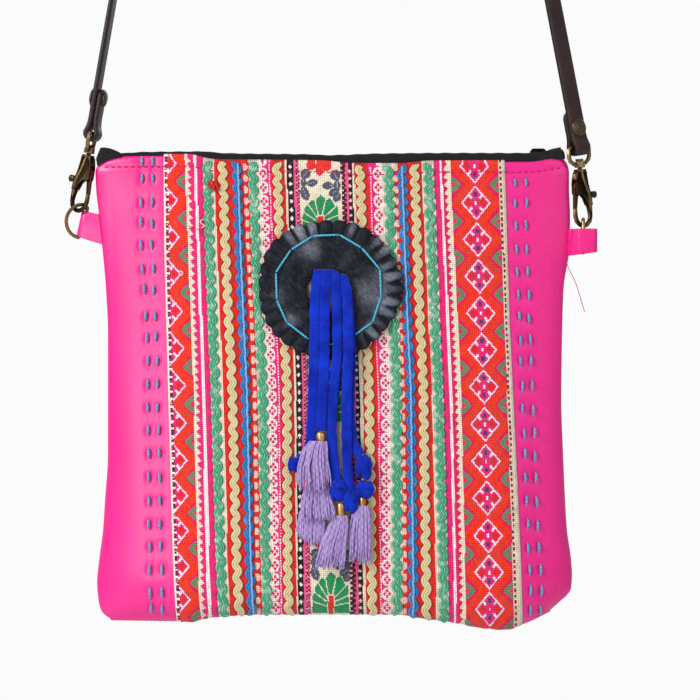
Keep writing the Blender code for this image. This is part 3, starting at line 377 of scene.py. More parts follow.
def makeCloth(name, light, dark, turns=3400.0, rough=0.6, sheen=0.1):
    # plain woven tape or thread, in the object's own coordinates
    f = Finish(name, Roughness=rough, Specular_IOR_Level=0.3, Sheen_Weight=sheen)
    twist = f.effect("threadTwist", Turns=turns)["Twist"]
    wearAndPaintedLight = f.effect("rubbedPatches", Size=320.0)["Worn"]
    # the colour is partly painted shade, darker in the grooves of the thread's crossed lays, and partly
    # random darker patches
    base = f.mix(f.math("MULTIPLY", f.math("ADD", twist, wearAndPaintedLight), 0.5), dark, light)
    return f.done(base, f.line(wearAndPaintedLight, 0.2, rough - 0.1), (twist, 0.0003, 0.4), (wearAndPaintedLight, 0.0002, 0.3))


def makeDarkLeather():
    # the rosette's attribute is 0.5 on plain leather, higher where painted highlights lie on the scallops,
    # lower where painted shade lies in the folds
    f = Finish("darkLeather", Roughness=0.5, Specular_IOR_Level=0.2)
    creases = f.noise(95, 5, 0.72, distortion=1.6)
    turned = f.stretched((1.0, 1.0, 1.0), turn=(0, 0.75, 0))
    grain = f.effect("leatherGrain", f.stretched((1.0, 1.0, 0.28), turned), Fine=1150.0)["Grain"]
    wearAndPaintedLight = f.attribute("wearAndPaintedLight", "Fac")
    base = f.over((3, 4, 10), (18, 22, 34), creases, (0.36, 0.0), (0.70, 1.0))
    base = f.over(base, (58, 66, 84), grain, (0.50, 0.0), (0.72, 0.5))
    # painted highlight: pale grey over the grain where the attribute is high
    wearAndHighlight = f.math("MULTIPLY", f.ramp(wearAndPaintedLight, (0.5, 0.0), (1.0, 1.0)),
                    f.ramp(grain, (0.30, 0.35), (0.60, 1.0)))
    base = f.mix(wearAndHighlight, base, (150, 156, 172))
    # painted shade: near black where the attribute is low, in the folds
    base = f.over(base, (7, 8, 13), wearAndPaintedLight, (0.0, 0.85), (0.5, 0.0))
    return f.done(base, f.ramp(creases, (0.3, 0.62), (0.7, 0.42)), (creases, 0.0012, 0.55),
                  (grain, 0.0006, 0.6))


def makeSuede():
    f = Finish("blueSuede", Roughness=0.92, Specular_IOR_Level=0.15, Sheen_Weight=0.15, Sheen_Roughness=0.4)
    broad, nap = f.effect("leatherGrain", Broad=110.0, Fine=1500.0)[:2]
    base = f.over((4, 24, 138), (14, 52, 196), broad, (0.3, 0.0), (0.72, 1.0))
    base = f.over(base, (44, 84, 220), nap, (0.45, 0.0), (0.8, 0.25))
    return f.done(base, f.line(nap, 0.1, 0.86), (broad, 0.0006, 0.3), (nap, 0.0002, 0.5))


def makeMetal(name, bright, dark, rough=0.34, paleEdges=0.5):
    f = Finish(name, Roughness=rough, Metallic=1.0)
    patina, scratch = f.effect("metalPatina")
    base = f.over(dark, bright, patina, (0.36, 0.0), (0.66, 1.0))
    # the sharp edges are made paler
    base = f.over(base, (226, 196, 140), f.node("NewGeometry")["Pointiness"], (0.52, 0.0), (0.66, paleEdges))
    shine = f.ramp(patina, (0.25, rough + 0.16), (0.75, rough - 0.08))
    return f.done(base, shine, (patina, 0.0003, 0.25), (scratch, 0.0001, 0.2))


makeEffects()
pinkLeather = makePinkLeather()
embroidery = makeEmbroidery()
darkLeather = makeDarkLeather()
blueSuede = makeSuede()
strapLeather = makeStrapLeather()
brass = makeMetal("antiqueBrass", (132, 102, 66), (46, 33, 24), 0.32, 0.6)
bronze = makeMetal("darkBronze", (62, 44, 32), (18, 11, 9), 0.36, 0.3)
pewter = makeMetal("pewterCap", (104, 90, 78), (46, 38, 34), 0.36)
gold = makeMetal("goldBead", (236, 190, 128), (186, 134, 80), paleEdges=0.3)
blackMetal = makeMetal("blackSlider", (26, 25, 28), (8, 8, 10), 0.45, 0.05)
blackTape = makeCloth("blackTape", (22, 22, 27), (4, 4, 7), 3000.0, 0.8)
turquoise = makeCloth("turquoiseThread", (96, 206, 226), (40, 140, 190))
paleBlueThread = makeCloth("paleBlueThread", (128, 200, 228), (42, 98, 168))
seamThread = makeCloth("seamThread", (220, 30, 122), (164, 8, 82))
paleThread = makeCloth("paleThread", (236, 226, 214), (178, 166, 152), 3800.0, 0.7)
lilacThread = makeCloth("lilacThread", (196, 170, 222), (136, 108, 176), 1800.0, 0.55, 0.3)
paleBlueCord = makeCloth("paleBlueCord", (186, 220, 240), (84, 150, 206))
beigeBraid = makeBraid("beigeBraid", (236, 218, 166), (178, 160, 108), (244, 232, 196))
greenBraid = makeBraid("greenBraid", (70, 186, 138), (14, 114, 76), (200, 236, 216), 0.85)
blueBraid = makeBraid("blueBraid", (34, 132, 208), (10, 70, 146), (130, 190, 232))
print("finishes made")

# the pouch's surface, in metres from its middle line and its top edge
pouch = {
    "middleX": 0.0060,
    "topZ": -0.5530,
    "power": 4.0,
    "height": 0.230,
    "sagFrom": 0.195,
    "dipTo": 0.030,
    "seamDrop": 0.0052,
    "seamDent": 0.0007,
    "seamWide": 0.0009,
    "drop": (0, .0035, .0075, .0160, .0295, .0445, .0670, .0900, .1230, .1500, .1730, .1885, .2035,
             .2130, .2210, .2265, .2300),
    "left": (-.1119, -.1189, -.1207, -.1204, -.1189, -.1174, -.1154, -.1144, -.1144, -.1144, -.1159,
             -.1169, -.1189, -.1199, -.1192, -.1174, -.1130),
    "right": (.1144, .1174, .1184, .1184, .1189, .1187, .1156, .1149, .1145, .1154, .1164, .1174,
              .1194, .1199, .1194, .1160, .1088),
    "halfDepth": (.0066, .0069, .0072, .0079, .0088, .0098, .0112, .0125, .0141, .0153, .0162, .0167,
                  .0169, .0164, .0144, .0108, .0056),
    "sagX": (-.1125, -.0720, -.0660, -.0540, -.0400, .0310, .0430, .0610, .0735, .0855, .0975, .1090, .1150),
    "sag": (.0033, .0038, .0023, .0008, 0, 0, .0018, .0043, .0068, .0078, .0043, -.0012, -.0040),
    "dipX": (-.0720, -.0600, -.0060, .0080, .0320, .0480, .0980, .1130),
    "dip": (0, .0026, .0032, .0045, .0046, .0033, .0029, .0006),
    "panelDrop": (0, .0460, .0840, .2015, .2300),
    "panelLeft": (-.0860, -.0854, -.0843, -.0807, -.0792),
    "panelRight": (.0857, .0869, .0880, .0933, .0945),
}
leftAt = smoothTable(pouch["drop"], pouch["left"])
rightAt = smoothTable(pouch["drop"], pouch["right"])
depthAt = smoothTable(pouch["drop"], pouch["halfDepth"])
sagAt = smoothTable(pouch["sagX"], pouch["sag"])
dipAt = smoothTable(pouch["dipX"], pouch["dip"])


def panelEdges(drop):
    return [np.interp(drop, pouch["panelDrop"], pouch[side]) for side in ("panelLeft", "panelRight")]


def halfDepth(across, drop):
    return depthAt(drop) * np.sqrt(np.maximum(0.0, 1 - np.abs(across) ** pouch["power"]))


def sagAndDip(x, drop):
    # how far the foot hangs, and how far the front's top edge dips
    return (sagAt(x) * smoothStep(pouch["sagFrom"], pouch["height"], drop),
            dipAt(x) * (1 - smoothStep(0.0, pouch["dipTo"], drop)))


def pouchPoint(x, drop, side=-1.0):
    x, drop = np.broadcast_arrays(np.asarray(x, float), np.asarray(drop, float))
    left, right = leftAt(drop), rightAt(drop)
    across = (x - (left + right) / 2) / ((right - left) / 2)
    sag, dip = sagAndDip(x, drop)
    return np.stack([pouch["middleX"] + x, side * halfDepth(across, drop),
                     pouch["topZ"] - drop - sag - np.where(side < 0, dip, 0.0)], axis=-1)


def seenDrop(x, drop):
    # how far below the top edge's level a place on the front shows
    sag, dip = sagAndDip(x, drop)
    return drop + dip + sag


def onFront(x, drop, lift):
    # a point that stands off the front by lift
    step = 0.0012
    x, drop = np.broadcast_arrays(np.asarray(x, float), np.asarray(drop, float))
    low, high = np.clip(drop - step, 0, 0.2295), np.clip(drop + step, 0.0005, pouch["height"])
    along = pouchPoint(x + step, drop) - pouchPoint(x - step, drop)
    down = pouchPoint(x, high) - pouchPoint(x, low)
    return pouchPoint(x, drop) + unit(np.cross(down, along)) * np.asarray(lift)[..., None]


# the middle column, metres a pixel, then offsets
photo = {"middle": 350, "metres": 0.0005, "x": 0.0078, "drop": -0.0775}


def fromPhoto(px, py):
    # x from the pouch's middle and drop for a place on its front, as the photograph's frame shows it
    px, py = np.asarray(px, float), np.asarray(py, float)
    return photo["x"] + (px - photo["middle"]) * photo["metres"], photo["metres"] * py + photo["drop"]


runningStitches = {
    "leftRows": (157, 176, 201, 222, 245, 268, 290, 315, 337, 361, 385, 408, 431, 454, 477, 501, 523, 546,
                 570,
                 593, 611),
    "rightRows": (180, 202, 225, 249, 272, 295, 317, 339, 361, 386, 409, 433, 455, 478, 502, 525, 547, 570,
                  592,
                  612),
    "rowPlaces": (157, 245, 350, 600), "highest": 159.5, "jitter": (1.5, 0.6),
    "columns": ((141, 139.7, 147, 150), (152, 150.7, 156, 162), (515, 517, 521, 531), (527, 527.5, 531, 542)),
    "length": 0.0056, "radius": 0.00060, "lean": 0.08, "pitch": 0.0026,
    "dimple": 0.0009, "dimpleWide": 0.0016, "dimpleTall": 0.0026,
}


def stitchPlaces():
    places = []
    down, aside = runningStitches["jitter"]
    for column, xs in enumerate(runningStitches["columns"]):
        rows = np.array(runningStitches["leftRows" if column < 2 else "rightRows"], float)
        rows += dice.uniform(-down, down, len(rows))
        rows[0] = max(rows[0], runningStitches["highest"])
        px = np.interp(rows, runningStitches["rowPlaces"], xs) + dice.uniform(-aside, aside, len(rows))
        for x, drop in zip(*fromPhoto(px, rows)):
            places.append((x, min(max(2 * drop - seenDrop(x, drop), 0.0014), 0.2284)))
    return np.array(places)


stitchSpots = stitchPlaces()


def seamDent(drop):
    return pouch["seamDent"] * hump(drop, pouch["seamDrop"], pouch["seamWide"])


def leatherDents(x, drop):
    # hollows under the running stitches, the sewn line under the top edge, and slow waves
    depth = seamDent(drop)
    wide, tall = runningStitches["dimpleWide"], runningStitches["dimpleTall"]
    for sx, sd in stitchSpots:
        near = (np.abs(x - sx) < 0.006) & (np.abs(drop - sd) < 0.008)
        depth[near] += runningStitches["dimple"] * hump(x[near], sx, wide) * hump(drop[near], sd, tall)
    curl = 0.2262 + ((x + 0.0830) / 0.030) ** 2 * 0.003  # the fold at the lower left corner
    reach = smoothStep(-0.112, -0.104, x) * smoothStep(-0.066, -0.074, x)
    depth += 0.0010 * hump(drop, curl, 0.0008) * reach
    wave = 0.0007 * (1 + np.sin(46 * x + 1.0) * np.sin(30 * drop + 0.4)) * smoothStep(0.0, 0.03, drop)
    left, right = panelEdges(drop)
    return depth + wave * smoothStep(0.0, 0.012, np.maximum(left - x, x - right))


shell = {
    "half": 168, "rows": 176, "hem": 6, "floor": 3,  # steps across a side, down it, in the hem and the floor
    "hemDepth": 0.0075, "wall": 0.0013, "hemGap": 0.0004, "rimRise": 0.0002, "backWave": 0.0010,
    "floorShare": (1.0, 0.72, 0.35, 0.0), "floorDrop": (0.0, 0.0004, 0.0006, 0.0007),
}


def placeShell(u, v):
    # round the pouch, front first; from inside the hem, over the rim and down to the floor's seam
    step = np.rint(v * (shell["hem"] + shell["rows"] + shell["floor"]))
    front = u <= 0.5
    across = np.sin(np.pi * (np.where(front, u * 2, (1 - u) * 2) - 0.5))
    hemStep = np.clip(shell["hem"] - step, 0, shell["hem"])
    bodyStep = np.clip((step - shell["hem"]) / shell["rows"], 0, 1)
    floorStep = np.clip(step - shell["hem"] - shell["rows"], 0, shell["floor"]).astype(int)
    drop = pouch["height"] * np.clip(bodyStep + 0.10 * np.sin(np.pi * bodyStep) * bodyStep, 0, 1)
    left, right = leftAt(drop), rightAt(drop)
    x = (left + right) / 2 + across * (right - left) / 2
    side = np.where(front, -1.0, 1.0)
    points = pouchPoint(x, drop, side)
    depth = halfDepth(across, drop)
    back = seamDent(drop) + shell["backWave"] * np.sin(38 * x) * np.sin(34 * drop + 0.6) * smoothStep(0, 0.04,
                                                                                                      drop)
    points[:, 1] -= side * np.where(front, leatherDents(x, drop), back) * np.clip(depth / 0.004, 0, 1)
    rim = np.minimum(hemStep, 2) / 2
    inset = shell["wall"] * rim + shell["hemGap"] * np.clip(hemStep - 2, 0, 1)
    points[:, 1] = np.where(hemStep > 0, side * np.maximum(depth - inset, 0.0), points[:, 1])
    points[:, 0] -= np.sign(across) * inset * np.abs(across) ** 3
    points[:, 2] += np.where(hemStep > 0, shell["rimRise"] * np.sin(np.pi * rim), 0.0)
    points[:, 2] -= shell["hemDepth"] * np.clip(hemStep - 2, 0, 4) / 4
    points[:, 1] *= np.array(shell["floorShare"])[floorStep]
    points[:, 2] -= np.array(shell["floorDrop"])[floorStep]
    return points


def makeShell():
    rows = shell["hem"] + shell["rows"] + shell["floor"]
    mesh = gridMesh("pouch_leather", shell["half"] * 2, rows, placeShell)
    finishObject(mesh, pinkLeather, "bag_body", weld=2e-6, turnOut=True)


makeShell()
print("pouch made")


def makeRunningStitches():
    half, radius, lean = (runningStitches[key] for key in ("length", "radius", "lean"))
    half /= 2
    run = np.linspace(-1, 1, 9)
    lift = 0.0010 * (1 - run ** 4) - 0.0005 - 0.0004 * run ** 2
    paths = []
    for x, drop in stitchSpots:
        aside = run * half * dice.uniform(-lean, lean)
        path = onFront(x + aside, np.clip(drop + run * half, 0.0004, 0.2296), lift)
        paths += pliedPaths(path, radius * 0.5, runningStitches["pitch"])
    share = np.clip(1.2 - np.abs(run) ** 2.2, 0.2, 1.15)
    finishObject(strandMesh("running_stitches", paths, radius * 0.72, 8, [share] * len(paths)),
                 paleBlueThread)


topSeam = {"reach": 0.1150, "pitch": 0.0033, "half": 0.0012, "radius": 0.00028, "panel": (-0.0875, 0.0872),
           "rise": (-0.0010, -0.0003, -0.0001, -0.0003, -0.0010), "onPanel": 0.0003}


def makeTopSeam():
    # machine stitches in the sewn line under the top edge, along the front and the back
    seam, rise = [], np.array(topSeam["rise"])
    for spot in np.arange(-topSeam["reach"], topSeam["reach"], topSeam["pitch"]):
        x = spot + np.linspace(-topSeam["half"], topSeam["half"], 5)
        onPanel = topSeam["panel"][0] <= spot <= topSeam["panel"][1]
        lift = rise * 0.4 + panel["lift"] + topSeam["onPanel"] if onPanel else rise
        back = pouchPoint(x, pouch["seamDrop"], 1.0)
        back[:, 1] += rise
        seam += [onFront(x, pouch["seamDrop"], lift), back]
    finishObject(strandMesh("top_seam_stitches", seam, topSeam["radius"], 6), seamThread)


# the embroidered panel's threads are charted, one face for each stitch
threadColours = {
    "cream": (248, 234, 208), "white": (255, 242, 238), "pink": (246, 36, 124), "deepPink": (232, 24, 92),
    "orange": (252, 56, 22), "red": (240, 38, 28), "green": (22, 150, 92), "moss": (92, 150, 90),
    "black": (22, 14, 20), "slate": (84, 92, 112), "wine": (132, 14, 52), "rose": (248, 92, 152),
    "dusk": (80, 64, 116), "ecru": (236, 218, 194), "blush": (250, 206, 192), "bar": (232, 52, 44),
    "flower": (250, 50, 44), "mist": (176, 180, 190),
}
threadNames = list(threadColours)
threadTable = np.array([tone(*colour) for colour in threadColours.values()])
panel = {
    "columns": 344, "rows": 464, "lift": 0.0009, "ripple": 0.00022, "wideMm": 172,
    "measuredDrop": (13.5, 116.0, 217.5),
    "measuredLeft": (-85.4, -82.35, -79.35),
    "measuredWide": (170.1, 170.95, 171.85),
    # right edge of each stripe as a share of the panel, near its top, middle and foot
    "lanes": (
        ("selvedge", .0015, .0015, .0015), ("halfDiamonds", .0625, .0696, .068),
        ("teethLeft", .0850, .0936, .0875),
        ("pink", .0886, .0946, .091), ("white", .0970, .1036, .102), ("pink", .116, .1196, .122),
        ("cream", .148, .156, .155), ("red", .234, .243, .234), ("bumps", .250, .257, .250),
        ("cream", .279, .286, .279), ("ovals", .3045, .3125, .302), ("pinkDash", .3175, .3255, .312),
        ("red", .357, .364, .352), ("cream", .3625, .370, .356), ("blackGems", .382, .3875, .373),
        ("rose", .3885, .3935, .3795), ("speckle", .399, .4036, .393), ("centre", .522, .527, .507),
        ("blackSpeckle", .536, .5375, .525), ("rose", .543, .5436, .532), ("blackTicks", .556, .556, .545),
        ("cream", .5625, .566, .5536), ("red", .6036, .607, .5946), ("pinkDash", .614, .614, .600),
        ("ovalsRight", .648, .650, .630), ("cream", .6786, .6786, .661), ("bumpsRight", .690, .688, .673),
        ("red", .7607, .766, .757), ("cream", .797, .799, .793), ("pink", .814, .818, .809),
        ("white", .821, .826, .816), ("pink", .823, .8286, .821), ("teethRight", .8375, .8446, .837),
        ("cream", .846, .852, .843), ("diamonds", .9875, .986, .982), ("selvedgeDots", 1.2, 1.2, 1.2),
    ),
    "diamondRows": (165.5, 202.4, 239.3, 276.2, 313.1, 350, 386.9, 424.4, 461.3, 498, 535.6, 572, 609),
    "halfMiddle": (-86.2, -81.5, -79.3),
    "halfRows": (162.4, 199.6, 236.8, 274, 311.2, 348.4, 385.6, 423.1, 460.6, 495.6, 530.6, 566, 599),
}


def atMeasured(values, drop):
    # straight lines through the three measured heights, carried on past them
    d0, d1, d2 = panel["measuredDrop"]
    upper = values[0] + (values[1] - values[0]) * (drop - d0) / (d1 - d0)
    lower = values[1] + (values[2] - values[1]) * (drop - d1) / (d2 - d1)
    return np.where(drop < d1, upper, lower)


def shareToX(shares, drop):
    left, wide = [atMeasured(panel[key], drop) for key in ("measuredLeft", "measuredWide")]
    return left + atMeasured(shares, drop) * wide


def thread(name):
    return threadNames.index(name)


def pick(rules, plain):
    # the first rule that holds gives the thread
    chosen = np.full(rules[0][0].shape, thread(plain))
    for mask, name in reversed(rules):
        chosen[mask] = thread(name)
    return chosen


def fold(value, pitch, start=0.0):
    # distance from the nearest repeat
    return np.abs((value - start + pitch / 2) % pitch - pitch / 2)


def nearestRow(drop, rows):
    # how far down or up to the nearest of the photograph's rows, all in mm
    places = fromPhoto(0, rows)[1] * 1000
    places = np.r_[places[0] - 18.5, places, places[-1] + 18.5]
    i = np.clip(np.searchsorted(places, drop), 1, len(places) - 1)
    return drop - np.where(drop - places[i - 1] < places[i] - drop, places[i - 1], places[i])


def chartDiamond(p, q, edge, valley):
    # p, q from the diamond's middle in half-widths; edge, valley in mm from the band's edge and the gap
    ap, aq = np.abs(p), np.abs(q)
    d = ap + aq
    chevron = np.hypot(edge, 1.15 * valley) * 0.45 + (edge + 1.1 * valley) * 0.55
    return pick([
        ((chevron < 4.7) & (chevron > 2.2), "moss"), (chevron <= 0.8, "red"), (chevron <= 5.1, "pink"),
        ((d > 0.885) & (d <= 1.0), "white"), ((d > 1.0) & (d <= 1.10), "pink"),
        ((d > 1.10) & (d <= 1.75), "orange"), (d > 1.75, "deepPink"),
        ((ap < 0.06) & (aq < 0.10), "white"), ((np.abs(ap - aq) < 0.10) & (d > 0.52), "white"),
        ((ap < 0.12) & (np.abs(aq - 0.50) < 0.13), "dusk"), ((np.abs(ap - 0.50) + aq) < 0.27, "red"),
    ], "pink")


def chartLane(kind, a, w, d, x):
    # a: mm from the stripe's left edge, w: its width, d: mm down, x: mm from the pouch's middle
    if kind == "diamonds":
        q = nearestRow(d, panel["diamondRows"])
        return chartDiamond((a - w / 2) / 7.4, q / 8.75, np.minimum(a, w - a),
                            np.maximum(9.25 - np.abs(q), 0))
    if kind == "halfDiamonds":
        q = nearestRow(d, panel["halfRows"])
        p = (x - atMeasured(panel["halfMiddle"], d)) / 7.4
        found = chartDiamond(p, q / 8.9, w - a, np.maximum(9.25 - np.abs(q), 0))
        found[(a < 1.5) & (np.floor(a / 0.75) == np.floor(d / 0.8) % 2)] = thread("black")
        found[(a < 1.5) & (fold(d, 3.7) < 0.5)] = thread("white")
        return found
    if kind in ("teethLeft", "teethRight"):
        saw = (d / 4.06) % 1.0
        saw = np.where(saw < 0.68, saw / 0.68, (1 - saw) / 0.32)
        if kind == "teethLeft":
            return pick([(a < 0.8 + 2.1 * saw, "cream")], "pink")
        return pick([(w - a < 0.1 + 2.0 * saw, "cream")], "deepPink")
    if kind in ("bumps", "bumpsRight"):
        middle = 0.8 if kind == "bumps" else w - 1.2
        return pick([(((a - middle) / 1.5) ** 2 + (fold(d, 5.7) / 1.85) ** 2 < 1, "blush")], "red")
    if kind in ("ovals", "ovalsRight"):
        across, y = np.abs(a - w / 2), fold(d, 7.0, 2.0)
        ring = np.sqrt((across / 2.55) ** 2 + (y / 3.1) ** 2)
        flower = across / 1.8 + y / 2.25
        petals = (flower > 0.30) & (flower < 1.12) & (np.abs(across * 1.2 - y) > 0.32) & (ring <= 0.80)
        inner = (a < w * 0.42) if kind == "ovals" else (a > w * 0.58)
        return pick([((ring > 0.80) & (ring < 1.03), "white"), (petals, "deepPink"), (ring <= 0.80, "white"),
                     (inner, "cream")], "pink")
    if kind == "pinkDash":
        return pick([((np.abs(a - w / 2) < 0.3) & (fold(d, 1.5) < 0.45), "white")], "pink")
    if kind == "blackGems":
        return pick([(np.abs(a - w / 2) / 1.15 + fold(d, 4.35, 1.2) / 1.5 < 0.82, "white")], "black")
    if kind == "blackTicks":
        return pick([(np.abs(a - w * 0.35) + fold(d, 3.7, 0.4) < 0.95, "blush")], "black")
    if kind == "speckle":
        check = (np.floor(a / 0.9) + np.floor(d / 0.95)) % 2 == 0
        return pick([(check & (fold(d, 3.8) < 1.4), "rose"), (check, "blush")], "wine")
    if kind == "blackSpeckle":
        left, right = (fold(d, 2.5) < 0.35) & (a < w * 0.4), (fold(d, 2.5, 1.2) < 0.4) & (a > w * 0.7)
        return pick([(left, "blush"), (right, "rose"), (fold(d, 3.1, 1.2) < 0.6, "wine")], "black")
    if kind == "selvedgeDots":
        return pick([((np.abs(a - 0.9) < 0.5) & (fold(d, 2.9) < 0.8), "wine")], "ecru")
    return np.full(a.shape, thread(kind if kind in threadColours else "cream"))


motif = {
    # photograph steps from the top of each fan's bar: the fan's outline, then the lines between its petals
    "outline": ((-18.5, 18), (-19, 14), (-18, 5.6), (-18.9, 1.5), (-16.4, -3.5), (-15.9, -8.5), (-12.6, -13),
                (-9.2, -17.8), (-5.4, -16.5), (-4.3, -19), (0.2, -24.2), (4.6, -19.3), (5.3, -17.5),
                (9.4, -20.2),
                (12.4, -15.5), (14.6, -10.2), (16.6, -11.9), (18, -6), (17.9, -1), (17.6, 4), (18.6, 14),
                (18, 18)),
    "lines": (((-1.9, 0.7), (-5.9, -18.5)), ((-3.4, 2.2), (-13.4, -14.2)), ((-3.8, 6.2), (-17.6, -4.4)),
              ((-4.4, 10.3), (-19, 5.2)), ((1.5, 0), (5.4, -19.8)), ((3.2, 2.2), (15.8, -10.8)),
              ((3.5, 6.2), (18.6, -0.9)), ((4, 9.5), (19, 6.6))),
    # bar's place and the motif's height for each repeat
    "repeats": ((320.5, 215.3, 0.88), (325.6, 404.8, 0.95), (331, 595, 1.0)),
    # foot, tip and width of the red lobes and the slate leaves, from the first bar
    "lobes": (((-9.5, -56), (-9.8, -45.6), 8.7), ((-1.1, -56), (-1, -40), 8),
              ((5.6, -56), (6.2, -44.8), 8.7)),
    "leaves": (((-18.8, -37.2), (-12, -46.4), 8.8), ((-14.7, -31.5), (-3, -34.2), 6.6),
               ((-17.4, -38), (-17, -28.9), 5.4),
               ((-18.4, -29.6), (-13.2, -15.2), 7.6), ((17.8, -35.6), (12, -45.6), 9.6),
               ((13, -30.2), (1.6, -30.2), 6.8),
               ((16.4, -35.6), (16.4, -25.6), 6.0), ((18.8, -27), (8.6, -20.6), 7),
               ((19, -23), (13.8, -14), 6.8)),
}


def insideOutline(outline, across, down):
    found = np.zeros(across.shape, bool)
    for (x0, y0), (x1, y1) in zip(outline, outline[1:] + outline[:1]):
        meets = (x1 - x0) * (down - y0) / ((y1 - y0) or 1e-9) + x0
        found ^= ((y0 > down) != (y1 > down)) & (across < meets)
    return found


def alongLine(start, end, across, down):
    # the line's length, and how far each stitch is along it and beside it
    (x0, y0), (x1, y1) = start, end
    reach = math.hypot(x1 - x0, y1 - y0)
    along = ((across - x0) * (x1 - x0) + (down - y0) * (y1 - y0)) / reach
    return reach, along, np.abs((across - x0) * (y1 - y0) - (down - y0) * (x1 - x0)) / reach


def petalRules(x, d):
    # flowers, leaves and fans of the middle stripe
    rules = []
    for px, py, tall in motif["repeats"]:
        barX, barDrop = fromPhoto(px, py)
        across, down = (x - barX * 1000) * 2, (d - barDrop * 1000) * 2
        fanDown = down / tall
        rules.append(((np.abs(across) < 2.7) & (fanDown > 0) & (fanDown < 19), "bar"))
        rules.append(((np.abs(across) < 3.6) & (fanDown > -1) & (fanDown < 19), "cream"))
        for start, end in motif["lines"]:
            reach, along, aside = alongLine(start, end, across, fanDown)
            rules.append(((aside < 0.55) & (along > 0) & (along < reach), "cream"))
        rules.append((insideOutline(motif["outline"], across, fanDown), "green"))
        for kind, name in (("lobes", "flower"), ("leaves", "slate")):
            for foot, tip, wide in motif[kind]:
                reach, along, aside = alongLine(foot, tip, across, down)
                along, aside = along / reach, aside / (wide * 0.58)
                inside = (along > 0) & (along < 1)
                inside &= aside < np.sin(np.pi * np.clip(along, 0, 1) ** 1.1) ** 0.55
                if kind == "leaves":
                    rules.append((inside & (aside < 0.07) & (along > 0.12) & (along < 0.75), "mist"))
                rules.append((inside, name))
    return rules


def chartPanel(x, d):
    # x, d: middle of each stitch in mm
    chosen = np.zeros(x.shape, int)
    left = atMeasured(panel["measuredLeft"], d) - 3.0
    for kind, *shares in panel["lanes"]:
        right = shareToX(shares, d)
        inside = (x >= left) & (x < right)
        a, w, down, across = [values[inside] for values in (x - left, right - left, d, x)]
        if kind == "centre":
            chosen[inside] = pick(petalRules(across, down), "cream")
        else:
            chosen[inside] = chartLane(kind, a, w, down, across)
        left = right
    seam = (np.abs(d - 6.3) < 0.26) & (x < 10) & (x > -24) & (chosen == thread("cream"))
    chosen[seam] = thread("blush")
    return chosen


braids = {
    "pitch": 0.0067, "wave": 0.00088, "half": 0.00178, "lift": 0.0019, "thick": 0.00055,
    "perWave": 16, "across": 12,
    "pieces": (
        ("ricrac_left_1", .1292, .1373, .1366, greenBraid),
        ("ricrac_left_2", .1747, .1868, .1831, beigeBraid),
        ("ricrac_left_3", .2158, .2254, .2197, blueBraid), ("ricrac_left_4", .2623, .2743, .2645, greenBraid),
        ("ricrac_left_5", .3338, .3457, .3273, beigeBraid),
        ("ricrac_right_1", .5759, .5827, .5680, beigeBraid),
        ("ricrac_right_2", .6589, .6625, .6404, greenBraid),
        ("ricrac_right_3", .6989, .7035, .6870, blueBraid),
        ("ricrac_right_4", .7350, .7399, .7238, beigeBraid),
        ("ricrac_right_5", .7765, .7834, .7746, greenBraid),
    ),
}


def braidMiddle(number, drop):
    # x of a braid's middle, its wave and the wave's slope
    left, right = panelEdges(drop)
    wave, pitch = braids["wave"], braids["pitch"]
    turn = 2 * np.pi * drop / pitch + number * 1.7
    straight = left + (right - left) * atMeasured(braids["pieces"][number][1:4], drop * 1000)
    return straight, wave * np.sin(turn), wave * 2 * np.pi / pitch * np.cos(turn)


def paintedBraidShadow(x, drop):
    # painted shadow: the cloth's colour is darkened close beside a braid
    nearest = np.full(x.shape, 1.0)
    for number in range(len(braids["pieces"])):
        straight, wave, slope = braidMiddle(number, drop)
        gap = np.abs(x - straight - wave) / np.sqrt(1 + slope ** 2) - braids["half"]
        nearest = np.minimum(nearest, np.maximum(gap, 0))
    return 1 - 0.34 * hump(nearest, 0, 0.0006)


def makePanel():
    columns, rows = panel["columns"], panel["rows"]
    for name, start, end in (("panel_left", 0, columns // 2), ("panel_right", columns // 2, columns)):
        def onPanel(u, v):
            drop = 0.0002 + 0.2296 * v
            left, right = panelEdges(drop)
            share = (start + u * (end - start)) / columns
            return left + (right - left) * share, drop, share

        def place(u, v):
            x, drop, share = onPanel(u, v)
            edge = np.minimum(share, 1 - share) * panel["wideMm"]
            lift = panel["lift"] * np.clip(0.35 + edge / 1.2, 0, 1)
            points = onFront(x, drop, lift + panel["ripple"] * np.sin(x * 900) * np.sin(drop * 700))
            over = 1 - smoothStep(0.0, 0.0011, drop)  # turned in over the leather's rim
            points[:, 1:] += over[:, None] * (0.0022, 0.0014)
            return points
        mesh = gridMesh(name, end - start, rows, place)
        flat = np.empty(len(mesh.loops) * 2, np.float32)
        mesh.uv_layers["flat"].data.foreach_get("uv", flat)
        flat = flat.reshape(-1, 4, 2).astype(float)
        middle = flat.mean(axis=1)  # each stitch is one face
        x, drop, share = onPanel(middle[:, 0], 1 - middle[:, 1])
        colours = threadTable[chartPanel(x * 1000, seenDrop(x, drop) * 1000)]
        # each stitch's colour varies at random, and carries the painted shadow beside the braids
        colours[:, :3] *= dice.uniform(0.84, 1.10, (len(colours), 1)) * paintedBraidShadow(x, drop)[:, None]
        layer = mesh.color_attributes.new("threads", "FLOAT_COLOR", "CORNER")
        layer.data.foreach_set("color", np.repeat(colours, 4, axis=0).astype(np.float32).ravel())
        cells = mesh.uv_layers.new(name="cells").data
        cells.foreach_set("uv", (flat * [(end - start) / 2, rows / 2]).astype(np.float32).ravel())
        made = finishObject(mesh, embroidery, "embroidered_panel")


makePanel()
makeRunningStitches()
makeTopSeam()
print("panel embroidered, running stitches sewn")


